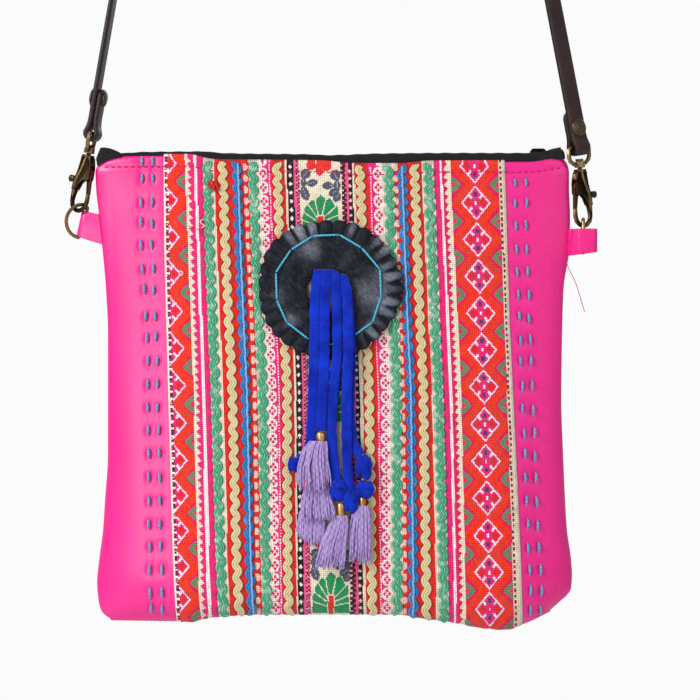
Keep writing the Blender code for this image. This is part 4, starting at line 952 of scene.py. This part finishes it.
def makeBraidPiece(number, node, material):
    def place(u, v):
        drop = 0.0006 + 0.2288 * v
        straight, wave, slope = braidMiddle(number, drop)
        length = np.sqrt(1 + slope ** 2)
        across = (u - 0.5) * 2 * braids["half"]
        down = np.clip(drop - across * slope / length, 0.0003, 0.2297)
        ridge = 0.65 + 0.35 * np.abs(np.sin(3 * np.pi * u))
        rise = braids["thick"] * np.clip(1 - (2 * u - 1) ** 6, 0, 1) * ridge
        return onFront(straight + wave + across / length, down, braids["lift"] - 0.0006 + rise)
    rows = int(0.2290 / braids["pitch"] * braids["perWave"])
    finishObject(gridMesh(node + "_braid", braids["across"], rows, place), material, node)


def sewingPasses(number):
    # small stitches that hold a braid down
    run = np.linspace(-1, 1, 5)
    lift = braids["lift"] + 0.00012 * (1 - run ** 2) - 0.0001
    for spot in np.arange(0.0020, 0.2270, 0.0031):
        drop = spot + run * 0.0009
        straight, wave, slope = braidMiddle(number, drop)
        yield onFront(straight + wave * 0.5, drop, lift)


sewn, cords = [], []
for number, (node, *places, material) in enumerate(braids["pieces"]):
    makeBraidPiece(number, node, material)
    if material == greenBraid:
        sewn += sewingPasses(number)
    if material == blueBraid:  # a straight pale cord couched along it
        drop = np.linspace(0.0012, 0.2282, 500)
        straight, wave, slope = braidMiddle(number, drop)
        aside = 0.0007 if number < 5 else 0.0
        path = onFront(straight + aside + wave * 0.15, drop, braids["lift"] + 0.0002)
        cords += pliedPaths(path, 0.00028, 0.0024)
finishObject(strandMesh("blue_braid_cords", cords, 0.00032, 5), paleBlueCord)
finishObject(strandMesh("braid_sewing", sewn, 0.00016, 4), paleThread)
print("braids sewn on")

rosette = {
    "x": -0.0025, "drop": 0.0671, "wide": 0.0356, "tall": 0.0345, "thick": 0.0011,
    "lift": 0.0029, "dome": 0.0011, "scallops": 31, "scallopDepth": 0.0013, "around": 310, "steps": 26,
    "stitchRing": ((276, 273), (291, 250.5), (313, 236.5), (339.5, 235.5), (361.5, 248.5), (380, 270),
                   (381, 297), (372.5, 323), (353, 336.5), (331, 345), (309, 340), (287, 323), (277, 301)),
    # the hole is cut close about the top of the strips: degrees, reach
    "holeTurns": (-90, -30, 11, 40, 90, 125, 150, 180, 270),
    "holeReach": (.0115, .0115, .0100, .0085, .0083, .0088, .0100, .0114, .0115),
    # photograph places, spread and strength of the painted highlights
    "wearAndHighlight": ((297, 231, 11, 1.0), (312, 227, 8, .6), (384, 246, 10, .8), (389, 275, 12, .7),
               (386, 305, 12, .7),
               (372, 332, 9, .6), (310, 250, 9, .45), (352, 229, 8, .45), (291, 320, 7, .4),
               (366, 292, 12, .35),
               (275, 298, 9, .2)),
}
holeReach = smoothTable(rosette["holeTurns"], rosette["holeReach"])


def scallopAt(turn):
    return np.abs(np.cos(rosette["scallops"] * turn / 2))


def rosetteReach(turn):
    # the hole's reach and the scalloped rim's, sideways and up
    scallop = rosette["scallopDepth"] * (scallopAt(turn) ** 0.8 - 0.5)
    ruffle = 0.0006 * np.sin(3 * turn + 0.6) + 0.0005 * np.sin(5 * turn + 2.0)
    hole = holeReach((np.degrees(turn) + 90) % 360 - 90)
    return hole, rosette["wide"] + ruffle + scallop, rosette["tall"] + ruffle + scallop


def thicken(made, thickness, offset):
    wall = made.modifiers.new("wall", "SOLIDIFY")
    wall.thickness = thickness
    wall.offset = offset


def rosetteLift(turn, v):
    wave = 0.0006 * np.sin(4 * turn - 1.2) + 0.0005 * np.sin(7 * turn + 2.2)
    wave *= (1 + np.sin(turn)) / 2
    crumple = 0.00035 * np.sin(9 * turn + 14 * v) * np.sin(5 * turn - 9 * v + 1.0)
    dome = np.maximum((rosette["dome"] + wave) * np.sin(np.pi * np.minimum(v * 1.05, 1)), 0)
    pillow = (0.0011 * scallopAt(turn) ** 0.6 - 0.0004) * smoothStep(0.66, 0.90, v)
    ditch = 0.0006 * hump(v, 0.60, 0.06)
    return rosette["lift"] + rosette["thick"] + dome + crumple + pillow - ditch


def rosettePlace(x, drop):
    # the turn and share of a place on the rosette
    across, up = x - rosette["x"], rosette["drop"] - drop
    turn = np.arctan2(up / rosette["tall"], across / rosette["wide"])
    hole, wide, tall = rosetteReach(turn)
    rim = 1 / np.sqrt((np.cos(turn) / wide) ** 2 + (np.sin(turn) / tall) ** 2)
    return turn, np.clip((np.hypot(across, up) - hole) / (rim - hole), 0, 1)


def makeRosette():
    def place(u, v):
        turn = 2 * np.pi * u
        hole, wide, tall = rosetteReach(turn)
        return onFront(rosette["x"] + (hole + (wide - hole) * v) * np.cos(turn),
                       rosette["drop"] - (hole + (tall - hole) * v) * np.sin(turn), rosetteLift(turn, v))
    mesh = gridMesh("rosette_leather", rosette["around"], rosette["steps"], place)
    made = finishObject(mesh, darkLeather, "rosette", weld=1e-6)
    spots = readPoints(mesh)
    x, drop = spots[:, 0] - pouch["middleX"], pouch["topZ"] - spots[:, 2]
    turn, v = rosettePlace(x, drop)
    # painted shade in the folds between the scallops, and painted highlights about the listed places
    foldShade = (1 - scallopAt(turn) ** 0.5) * smoothStep(0.62, 0.85, v)
    wearAndPaintedLight = 0.5 - 0.5 * foldShade
    for px, py, spread, strength in rosette["wearAndHighlight"]:
        rubX, rubDrop = fromPhoto(px, py)
        apart = np.hypot(x - rubX, drop - rubDrop)
        wearAndPaintedLight += 0.5 * strength * hump(apart, 0, spread * photo["metres"]) * (1 - 0.6 * foldShade)
    layer = mesh.attributes.new("wearAndPaintedLight", "FLOAT", "POINT")
    layer.data.foreach_set("value", np.clip(wearAndPaintedLight, 0, 1).astype(np.float32))
    thicken(made, rosette["thick"], -1.0)
    paths, ring = [], np.array(rosette["stitchRing"], float)
    run = np.linspace(0.03, 0.97, 15)
    for first, second in zip(ring, np.roll(ring, -1, axis=0)):
        x, drop = fromPhoto(*(first[:, None] + (second - first)[:, None] * run))
        bow = rosetteLift(*rosettePlace(x, drop)).max() + 0.0001 + 0.0003 * np.sin(np.pi * run)
        paths += pliedPaths(onFront(x, drop, bow - 0.0012 * np.abs(2 * run - 1) ** 10), 0.00026, 0.0030)
    finishObject(strandMesh("rosette_stitches", paths, 0.00036, 8), turquoise)


makeRosette()
print("rosette made")

strips = {
    "width": 0.0052, "thick": 0.0014, "rows": 90, "slant": {"suede_strip_3": 0.62, "suede_strip_4": 0.85},
    # the way a strip folds over in the hole: drop, lift, share of the way to the rim
    "fold": ((.0620, .0026, 0), (.0608, .0027, 0), (.0596, .0034, 0), (.0585, .0044, 0), (.0581, .0051, 0),
             (.0585, .0057, .03), (.0602, .0060, .10), (.0650, .0061, .40), (.0720, .0063, .72),
             (.0765, .0066, .82), (.0880, .0067, .92), (.0990, .0064, 1.0)),
    # x in the hole, x at the rim, lower, extra lift, then the tail's x, drop, lift
    "pieces": {
        "suede_strip_1": (-.00825, -.0100, 0, 0,
                          ((-.0104, .1120, .0054), (-.0114, .1360, .0040), (-.0121, .1450, .0038),
                           (-.0144, .1505, .0037), (-.0180, .1525, .0037))),
        "suede_strip_2": (-.0038, -.0049, 0, 0,
                          ((-.0053, .1120, .0056), (-.0064, .1300, .0052), (-.0068, .1380, .0052))),
        "suede_strip_3": (.00065, .0016, .0008, 0,
                          ((.0002, .1120, .0054), (-.0014, .1365, .0042), (-.0006, .1520, .0044),
                           (.0012, .1655, .0054))),
        "suede_strip_4": (.0052, .0070, .0030, .0018,
                          ((.0064, .1120, .0076), (.0061, .1365, .0062), (.0066, .1560, .0058),
                           (.0080, .1700, .0056))),
    },
    "under": ((.0068, .0708, .0058), (.0069, .0750, .0061), (.0074, .0830, .0064), (.0079, .0910, .0062),
              (.0080, .0990, .0058), (.0078, .1120, .0054), (.0082, .1365, .0040), (.0098, .1450, .0044),
              (.0130, .1500, .0050)),
}


def makeStrip(node, stations):
    stations = np.array(stations)
    count = strips["rows"]
    rows = smoothPath(np.c_[onFront(*stations[:, :3].T), stations[:, 3]], count)
    wobble = 0.00012 * np.sin(np.arange(count) * 0.9 + len(node) + stations[0, 0] * 900)
    half = strips["width"] / 2 * rows[:, 3] + wobble
    ways = np.tile([1.0, 0, 0], (count, 1))
    ways[:, 2] = -strips["slant"].get(node, 0) * (1 - smoothStep(14, 34, np.arange(count)))
    mesh = bandMesh(node + "_suede", rows[:, :3], ways, half, strips["thick"] / 2, 20, crown=0.12)
    finishObject(mesh, blueSuede, node, weld=1e-6, turnOut=True)


for node, (xTop, xRim, lower, extra, tail) in strips["pieces"].items():
    stations = []
    for drop, lift, share in strips["fold"]:
        stations.append((xTop + (xRim - xTop) * share, drop + lower * (1 - share),
                         lift + extra * min(1.0, share / 0.4), 0.9 if share < 0.2 else 1.0))
    makeStrip(node, stations + [(*row, 1.0) for row in tail])
makeStrip("suede_strip_5", [(*row, 1.0) for row in strips["under"]])

knots = {
    # x, drop, lift, wide, tall, deep, then turns of the wrap and its lean
    "strip_knot_1": (-.0200, .1548, .0049, .0052, .0090, .0044, 2.0, 0.6),
    "strip_knot_2": (.0018, .1676, .0062, .0076, .0116, .0060, 2.0, 0.9),
    "strip_knot_3": (.0146, .1560, .0056, .0080, .0150, .0054, 2.5, -0.7),
    "strip_knot_4": (.0152, .1672, .0058, .0088, .0094, .0058, 1.5, 0.8),
    "strip_knot_5": (.0082, .1732, .0062, .0078, .0116, .0060, 2.0, -0.9),
}


def makeKnot(node, x, drop, lift, wide, tall, deep, turns, lean):
    # the strip wound round itself: a soft core and three crossing turns
    centre = onFront(x, drop, lift)
    size = np.array([wide, deep, tall]) / 2
    turn = np.linspace(0, 2 * np.pi, 61)
    bm = bmesh.new()
    for number, (reach, tip, roll) in enumerate(((0.76, 0.15, 0.2), (0.82, 0.85 * lean, 1.4),
                                                 (0.88, -0.75 * lean, 2.6))):
        flat = np.stack([np.cos(turn), np.sin(turn), 0.25 * np.sin(turn + roll)], axis=1)
        spin = np.array(Matrix.Rotation(tip + 0.35, 3, "Y") @ Matrix.Rotation(0.5 * tip, 3, "X"))
        ring = flat @ spin.T
        path = centre + ring * size * reach
        ways = np.cross(unit(np.gradient(path, axis=0)), unit(ring / size))
        half = (0.0020 + 0.0003 * np.sin(2 * turn + number)) * (0.8 if wide < 0.006 else 1.0)
        mesh = bandMesh(node, path, ways, half, 0.0008)
        bm.from_mesh(mesh)
        bpy.data.meshes.remove(mesh)
    bmesh.ops.remove_doubles(bm, verts=bm.verts, dist=1e-6)
    for vert in bmesh.ops.create_icosphere(bm, subdivisions=4, radius=0.84)["verts"]:
        lump = 1 + 0.08 * math.sin(5 * vert.co.x + 4 * vert.co.z + turns)
        vert.co = Vector([c * k * lump for c, k in zip(vert.co, size)]) + Vector(centre)
    finishObject(meshFrom(bm, node + "_suede"), blueSuede, node, turnOut=True)


for node, row in knots.items():
    makeKnot(node, *row)

beads = {
    # x, drop, lift, wide, tall
    "brass_bead_1": (-.0068, .1410, .0054, .0050, .0050),
    "brass_bead_2": (.0032, .1773, .0058, .0046, .0072),
    "brass_bead_3": (.0140, .1733, .0052, .0034, .0046),
}


def makeBead(node, x, drop, lift, wide, tall):
    # a barrel with rolled ends and a hole, spun from its profile
    profile = ((0.22, 0.40), (0.24, 0.47), (0.30, 0.50), (0.37, 0.47), (0.43, 0.36), (0.48, 0.18),
               (0.50, 0.0))
    profile += tuple((r, -z) for r, z in reversed(profile[:-1]))
    bm = bmesh.new()
    verts = [bm.verts.new((r * wide, 0, z * tall)) for r, z in profile]
    edges = [bm.edges.new(pair) for pair in zip(verts, verts[1:] + verts[:1])]
    bmesh.ops.spin(bm, geom=verts + edges, cent=(0, 0, 0), axis=(0, 0, 1), angle=2 * math.pi, steps=28,
                   use_merge=True)
    bmesh.ops.translate(bm, verts=bm.verts, vec=Vector(onFront(x, drop, lift)))
    finishObject(meshFrom(bm, node + "_barrel"), gold, node, turnOut=True)


for node, row in beads.items():
    makeBead(node, *row)

tassels = {
    "count": 120, "radius": 0.00036, "sway": 0.0006, "shortSide": 0.22,
    # down each tassel: x, drop, lift, wide, deep
    "rows": {
        "tassel_1": ((-.0082, .1432, .0062, .0088, .0028), (-.0098, .1475, .0068, .0134, .0036),
                     (-.0107, .1560, .0080, .0166, .0042), (-.0101, .1675, .0088, .0172, .0044)),
        "tassel_2": ((-.0084, .1640, .0044, .0110, .0024), (-.0086, .1700, .0052, .0146, .0030),
                     (-.0084, .1760, .0072, .0172, .0034), (-.0078, .1820, .0084, .0178, .0036)),
        "tassel_3": ((-.0104, .1752, .0041, .0110, .0020), (-.0110, .1800, .0042, .0146, .0022),
                     (-.0116, .1870, .0044, .0156, .0026), (-.0116, .1944, .0044, .0150, .0026)),
        "tassel_4": ((.0030, .1801, .0058, .0074, .0034), (.0020, .1855, .0068, .0108, .0036),
                     (-.0004, .1945, .0081, .0138, .0038), (-.0026, .2058, .0082, .0156, .0038)),
        "tassel_5": ((.0136, .1752, .0052, .0072, .0030), (.0134, .1800, .0056, .0094, .0040),
                     (.0128, .1900, .0060, .0110, .0048), (.0124, .2030, .0062, .0120, .0050)),
    },
}


def makeTassel(node, table):
    table = np.array(table)
    last = len(table) - 1
    run = np.linspace(0, 1, 12)
    shares = np.clip(1.25 - 0.35 * run, 0.5, 1.2) * np.where(run > 0.95, 0.5, 1.0)
    short = tassels["shortSide"] if node == "tassel_3" else 0.0
    paths = []
    for _ in range(tassels["count"]):
        turn = 2 * np.pi * dice.random()
        reach = math.sqrt(dice.random()) * 0.96
        at = run * last * dice.uniform(0.86, 1.03) * (1 - short * max(0.0, -reach * math.cos(turn)))
        x, drop, lift, wide, deep = [np.interp(at, np.arange(last + 1), column) for column in table.T]
        drop = drop + np.clip(at - last, 0, None) * (table[-1, 1] - table[-2, 1])
        x = x + wide / 2 * reach * math.cos(turn) + (
            tassels["sway"] * np.sin(run * dice.uniform(3, 9) + dice.uniform(0, 6)) * run)
        lift = lift + deep / 2 * reach * math.sin(turn)
        paths.append(onFront(x, drop, np.maximum(lift, 0.0032)))
    mesh = strandMesh(node + "_threads", paths, tassels["radius"], 6, [shares] * len(paths))
    finishObject(mesh, lilacThread, node)


for node, table in tassels["rows"].items():
    makeTassel(node, table)
print("strips, knots, beads and tassels made")


def roundedCopy(node, ending, material, width, angle=30, segments=2, levels=0, body="bag"):
    # a cleaned copy of a solid with its edges rounded
    bm = bmesh.new()
    bm.from_mesh(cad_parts[node].data)
    bmesh.ops.remove_doubles(bm, verts=bm.verts, dist=1e-6)
    bmesh.ops.dissolve_limit(bm, angle_limit=math.radians(1.5), verts=bm.verts, edges=bm.edges,
                             use_dissolve_boundaries=False)
    limit = math.radians(angle)
    sharp = [edge for edge in bm.edges if len(edge.link_faces) == 2 and edge.calc_face_angle(0) > limit]
    if width:
        bmesh.ops.bevel(bm, geom=sharp, offset=width, offset_type="OFFSET", affect="EDGES", segments=segments,
                        profile=0.5, material=-1, clamp_overlap=True)
    made = finishObject(meshFrom(bm, node + "_" + ending), material, node, body=body)
    if levels:
        soft = made.modifiers.new("soft", "SUBSURF")
        soft.levels = soft.render_levels = levels
    else:
        made.data.set_sharp_from_angle(angle=math.radians(40))
    return made


zipTop = smoothTable((-.1170, -.1070, -.0980, -.0650, -.0590, -.0460, -.0110, -.0050, .0040, .0190, .0600,
                      .0930, .1037, .1098, .1145),
                     (.0016, .0018, .0023, .0025, .0018, .0014, .0010, .0006, .0007, .0013, .0017,
                      .0017, .0023, .0038, .0050))
zipper = {
    "pitch": 0.00125, "wire": 0.00042, "wide": 0.0034, "high": 0.0024, "left": -0.1052, "right": 0.0986,
    "tapeLeft": -0.1116, "tapeRight": 0.1141, "tuck": 0.0050, "hem": 0.0004, "thick": 0.0006,
    "endLet": 0.0016,
    # across a tape: the share of the way, out to the wall, and up to the teeth
    "roll": ((0.0, 0.35, 0.5, 0.7, 1.0), (1.0, 1.0, 0.93, 0.55, 0.0), (0.0, 0.72, 0.93, 1.03, 1.0)),
}


def coilZ(x):
    return pouch["topZ"] + zipTop(x) - zipper["high"] / 2


def makeZip():
    turns = (zipper["right"] - zipper["left"]) / zipper["pitch"]
    run = np.linspace(0, 1, int(turns * 10))
    turn = 2 * np.pi * run * turns
    x = zipper["left"] + (zipper["right"] - zipper["left"]) * run
    path = np.stack([pouch["middleX"] + x, (zipper["wide"] / 2 - zipper["wire"]) * np.cos(turn),
                     coilZ(x) + (zipper["high"] / 2 - zipper["wire"]) * np.sin(turn)], axis=1)
    finishObject(strandMesh("zip_teeth", [path], zipper["wire"], 6), blackTape, "zip_coil")
    for side, node in ((-1.0, "zip_tape_front"), (1.0, "zip_tape_back")):
        def place(u, v):
            x = zipper["tapeLeft"] + (zipper["tapeRight"] - zipper["tapeLeft"]) * u
            wall = pouchPoint(x, 0.0, side)
            depth = np.abs(wall[:, 1])
            inner = zipper["wide"] / 2 + 0.0002
            outer = np.maximum(depth - 0.0018, inner + 0.0003)
            inset = np.clip((depth - 0.0032) / 0.0015, 0, 1)
            low = wall[:, 2] - zipper["hem"] - (zipper["tuck"] - zipper["hem"]) * inset
            # up inside the wall, over in a soft roll, and in to the teeth
            y, rise = [np.interp(v, zipper["roll"][0], shares) for shares in zipper["roll"][1:]]
            z = low + (coilZ(x) + 0.0008 - low) * rise + 0.00012 * np.sin(x * 700)
            return np.stack([wall[:, 0], side * (y * (outer - inner) + inner), z], axis=1)
        made = finishObject(gridMesh(node + "_cloth", 160, 12, place), blackTape, node, turnOut=True)
        thicken(made, zipper["thick"], 0.0)
    for side in ("left", "right"):
        made = roundedCopy("zip_end_" + side, "cloth", blackTape, 0.0006, levels=1)
        heights = readPoints(made.data)[:, 2]
        middle = (heights.min() + heights.max()) / 2
        for vert in made.data.vertices:  # let it reach down onto the leather
            vert.co.z -= zipper["endLet"] * float(smoothStep(0.0010, -0.0010, vert.co.z - middle))
    roundedCopy("zip_slider", "body", blackMetal, 0.0003)


makeZip()
print("zip made")

strap = {
    "width": 0.0100, "thick": 0.0026, "archRadius": 0.02775, "bore": 0.0016, "gap": 0.0003, "steps": 40,
    # loop x, loop z, the run's lean, the end's twist, the tail's length
    "left": (-0.1161, -0.5412, 9.76, 8.0, 0.0225),
    "right": (0.1292, -0.5482, 10.65, 52.0, 0.0185),
}


def endPath(side):
    loopX, loopZ, lean, twist, tail = strap[side]
    inner = 1.0 if side == "left" else -1.0
    lean, twist = math.radians(lean), math.radians(twist) * -inner
    down = np.array((-inner * math.sin(lean), 0.0, -math.cos(lean)))
    inPlane = np.array((inner * math.cos(lean), 0.0, -math.sin(lean)))
    across = np.array((0, -1.0, 0)) * math.cos(twist) + inPlane * math.sin(twist)
    tailWay = unit(np.cross(down, across))
    tailWay = tailWay * np.sign(tailWay @ inPlane)
    layer = (strap["thick"] + strap["gap"]) / 2
    radius = strap["bore"] + strap["thick"] / 2
    local = [(-tail, layer), (-tail + 0.0012, layer), (-tail + 0.0032, layer), (-tail / 2 - 0.002, layer),
             (-0.0066, layer), (-0.0038, layer + 0.0003)]
    for degrees in (125, 90, 50, 10, -30, -65, -100, -125):
        angle = math.radians(degrees)
        local.append((radius * math.cos(angle), radius * math.sin(angle)))
    local += [(-0.0038, -layer - 0.0003), (-0.0066, -layer), (-0.0120, -layer)]
    centre = np.array((loopX, 0.0, loopZ))
    return np.array([centre + down * d + tailWay * n for d, n in local]), across, lean


def bezier(start, startWay, end, endWay):
    reach = np.linalg.norm(end - start) / 3
    first, second = start + startWay * reach, end - endWay * reach
    t = (np.arange(1, strap["steps"]) / strap["steps"])[:, None]
    return start * (1 - t) ** 3 + first * 3 * t * (1 - t) ** 2 + second * 3 * t * t * (1 - t) + end * t ** 3


def strapPath():
    leftEnd, leftAcross, leftLean = endPath("left")
    rightEnd, rightAcross, rightLean = endPath("right")
    rightEnd = rightEnd[::-1]
    angles = np.linspace(math.pi - leftLean, rightLean, 21)
    archCentre = np.array((0.0, 0.0, -(strap["archRadius"] - strap["thick"] / 2)))
    arch = archCentre + np.stack([np.cos(angles), 0 * angles, np.sin(angles)], axis=1) * strap["archRadius"]
    up = np.array((math.sin(leftLean), 0, math.cos(leftLean)))
    down = np.array((math.sin(rightLean), 0, -math.cos(rightLean)))
    rise = smoothStep(0, 1, np.arange(1, strap["steps"]) / strap["steps"])[:, None]
    straight = np.array((0, -1.0, 0))
    parts = (leftEnd, bezier(leftEnd[-1], up, arch[0], up), arch, bezier(arch[-1], down, rightEnd[0], down),
             rightEnd)
    ways = (leftAcross + 0 * leftEnd, leftAcross * (1 - rise) + straight * rise, straight + 0 * arch,
            straight * (1 - rise) + rightAcross * rise, rightAcross + 0 * rightEnd)
    return np.c_[np.concatenate(parts), np.concatenate(ways)]


def makeStrap():
    rows = smoothPath(strapPath(), 900)
    run = runAlong(rows[:, :3])
    fromEnd = np.minimum(run, run[-1] - run)
    half = strap["width"] / 2 * np.clip(0.45 + 0.55 * np.sqrt(np.clip(fromEnd / 0.0032, 0, 1)), 0, 1)
    mesh = bandMesh("strap_leather", rows[:, :3], rows[:, 3:], half, strap["thick"] / 2, 24, 0.28, 0.04)
    finishObject(mesh, strapLeather, "strap", weld=1e-6, turnOut=True)
    print("strap length", round(float(run[-1]), 3))


makeStrap()
print("strap made")

hooks = {
    "collarDrop": 0.01185, "lean": {"left": 11.0, "right": 3.6}, "yaw": 35.0, "ridge": 0.00085,
    "claw": 0.00105,
    # down from the collar, towards the gate, out of the plate, thickness share
    "spine": ((.0002, .0006, .00215, .5), (.0030, .0002, .0023, .8), (.0070, -.0010, .0023, .9),
              (.0112, -.0028, .0022, 1), (.0150, -.0040, .0018, 1), (.0176, -.0044, .0011, 1),
              (.0205, -.0047, .0006, .9), (.0232, -.0047, .0002, .7)),
    "clawEnd": ((.0204, .0048, 0), (.0197, .00475, 0), (.0190, .0046, 0)),
}


def addSpine(made, side):
    # the cast ridge down the outside of the claw, and the claw's tip, which reaches up to the gate
    outer = -1.0 if side == "left" else 1.0
    lean, yaw = math.radians(hooks["lean"][side]), math.radians(hooks["yaw"])
    axis = np.array((outer * math.sin(lean), 0.0, -math.cos(lean)))
    gateWay = np.array((-outer * math.cos(yaw), -math.sin(yaw), 0.0))
    gateWay = unit(gateWay - axis * (gateWay @ axis))
    normal = np.cross(axis, gateWay)
    normal *= -np.sign(normal[1])
    collar = np.array((strap[side][0], 0.0, strap[side][1])) + hooks["collarDrop"] * axis
    ways = np.array((axis, gateWay, normal))
    rows = smoothPath(hooks["spine"], 40)
    tip = strandMesh("tip", [collar + np.array(hooks["clawEnd"]) @ ways], hooks["claw"], 10)
    spine = strandMesh("spine", [collar + rows[:, :3] @ ways], hooks["ridge"], 10, [rows[:, 3]])
    bm = bmesh.new()
    for mesh in (made.data, tip, spine):
        bm.from_mesh(mesh)
    bm.to_mesh(made.data)
    bm.free()
    made.data.materials.append(brass)
    ridge = len(made.data.polygons) - len(spine.polygons)
    for number, face in enumerate(made.data.polygons):
        face.material_index = int(number >= ridge)
    for mesh in (tip, spine):
        bpy.data.meshes.remove(mesh)
    made.data.shade_smooth()
    made.data.set_sharp_from_angle(angle=math.radians(40))


tabs = {"left": (0.0006, 0.0016), "right": (0.0012, 0.0018), "reach": 0.0013}  # how far the foot is let down


def fillTab(made, side):
    # meets the pouch's side, and hangs a little lower beside it
    low, high = readPoints(made.data).min(axis=0), readPoints(made.data).max(axis=0)
    inner, outer = (high[0], low[0]) if side == "left" else (low[0], high[0])
    middle = (low[2] + high[2]) / 2
    for vert in made.data.vertices:
        share = (vert.co.x - outer) / (inner - outer)
        foot = float(smoothStep(0.002, -0.002, vert.co.z - middle))
        vert.co.z -= foot * (tabs[side][0] + tabs[side][1] * share)
        vert.co.x += np.sign(inner - outer) * tabs["reach"] * float(smoothStep(0.75, 1.0, share))


for side in ("left", "right"):
    roundedCopy("rivet_" + side, "cap", pewter, 0.0002)
    roundedCopy("eye_" + side, "wire", brass, 0.0)
    addSpine(roundedCopy("hook_" + side, "cast", bronze, 0.00022, body=side + "_hook"), side)
    roundedCopy("gate_" + side, "lever", bronze, 0.0002, body=side + "_gate")
    roundedCopy("d_ring_" + side, "wire", brass, 0.0)
    fillTab(roundedCopy("tab_" + side, "leather", pinkLeather, 0.0004, 40, 3), side)
print("metal and tabs made")

looseThreads = {
    # each colour's light, dark and radius, then photograph places along each thread
    "red": ((236, 36, 30), (160, 12, 14), 0.0007, ((209, 177), (213, 180), (211, 183), (207, 181)),
            ((208, 184), (213, 186), (216, 190)), ((213, 178), (217, 183), (218, 188))),
    "pink": ((230, 40, 120), (170, 12, 80), 0.00022, ((188, 226), (196, 229), (203, 231), (208, 235)),
             ((571, 231), (566, 262), (575, 283), (584, 312)), ((201, 216), (199, 224), (202, 232))),
    "white": ((244, 232, 226), (190, 170, 168), 0.00030, ((180, 271), (183, 273), (181, 276)),
              ((203, 219), (200, 222), (204, 226), (201, 228))),
}


def makeLooseThreads():
    for name, (light, dark, radius, *threads) in looseThreads.items():
        paths = []
        for places in threads:
            px, py = np.array(places, float).T
            if px.max() > 560:  # hangs past the pouch, beside the tab
                path = np.stack([view["x"] + (px - 350) * 0.000505, 0 * px - 0.0035,
                                 view["z"] - (py - 350) * 0.000505], axis=1)
            else:
                path = onFront(*fromPhoto(px, py), 0.0027 + 0.0004 * np.sin(np.arange(len(px)) * 2.0))
            paths.append(smoothPath(path, 24))
        material = makeCloth("loose" + name.capitalize(), light, dark, 3000.0, 0.75)
        finishObject(strandMesh("loose_threads_" + name, paths, radius, 6), material)


makeLooseThreads()
print("loose threads added")


lights = {
    # place, size, watts
    "keyLight": ((-1.1, -1.1, 0.25), 0.6, 21.0), "fillLight": ((1.2, -1.4, 0.1), 1.0, 4.0),
    "sideLight": ((-0.62, -1.25, -0.70), 0.45, 3.8), "backLight": ((0.3, 1.4, 0.2), 1.2, 8.0),
}


def makeStage():
    f = Finish("paleFloor", Roughness=0.9)
    base = f.mix(f.noise(3, 2, 0.5), (226, 226, 226), (234, 234, 234))
    bm = bmesh.new()
    bmesh.ops.create_circle(bm, cap_ends=True, segments=96, radius=1.6,
                            matrix=Matrix.Translation((0, 0, -1.2)))
    floor = linked("floor", meshFrom(bm, "floor"))
    floor.data.materials.append(f.done(base, 0.9, (f.noise(40, 2, 0.5), 0.001, 0.05)))
    world = bpy.context.scene.world = bpy.data.worlds.new("studio")
    world.use_nodes = True
    tree = world.node_tree
    both = tree.nodes.new("ShaderNodeMixShader")
    # a soft glow on the bag, and a paler backdrop in the camera's eye
    shades = ((tree.nodes.new("ShaderNodeBackground"), 1, (0.97, 0.97, 1.0, 1), 0.42),
              (tree.nodes["Background"], 2, (0.965, 0.965, 0.97, 1), 1.0))
    for shade, slot, colour, strength in shades:
        shade.inputs["Color"].default_value = colour
        shade.inputs["Strength"].default_value = strength
        tree.links.new(shade.outputs[0], both.inputs[slot])
    tree.links.new(tree.nodes.new("ShaderNodeLightPath").outputs["Is Camera Ray"], both.inputs[0])
    tree.links.new(both.outputs[0], tree.nodes["World Output"].inputs["Surface"])
    for name, (place, size, power) in lights.items():
        lamp = linked(name, bpy.data.lights.new(name, "AREA"))
        lamp.data.size = size
        lamp.data.energy = power
        lamp.location = place
        lamp.rotation_euler = (Vector((0, 0, -0.62)) - Vector(place)).to_track_quat("-Z", "Y").to_euler()
    camera = linked("camera", bpy.data.cameras.new("camera"))
    camera.data.lens = 152.8
    camera.data.sensor_width = 36.0
    camera.location = (view["x"], view["y"], view["z"])
    camera.rotation_euler = (math.radians(90), 0, 0)
    bpy.context.scene.camera = camera
    bpy.context.scene.view_settings.view_transform = "Standard"


makeStage()
print("stage set")
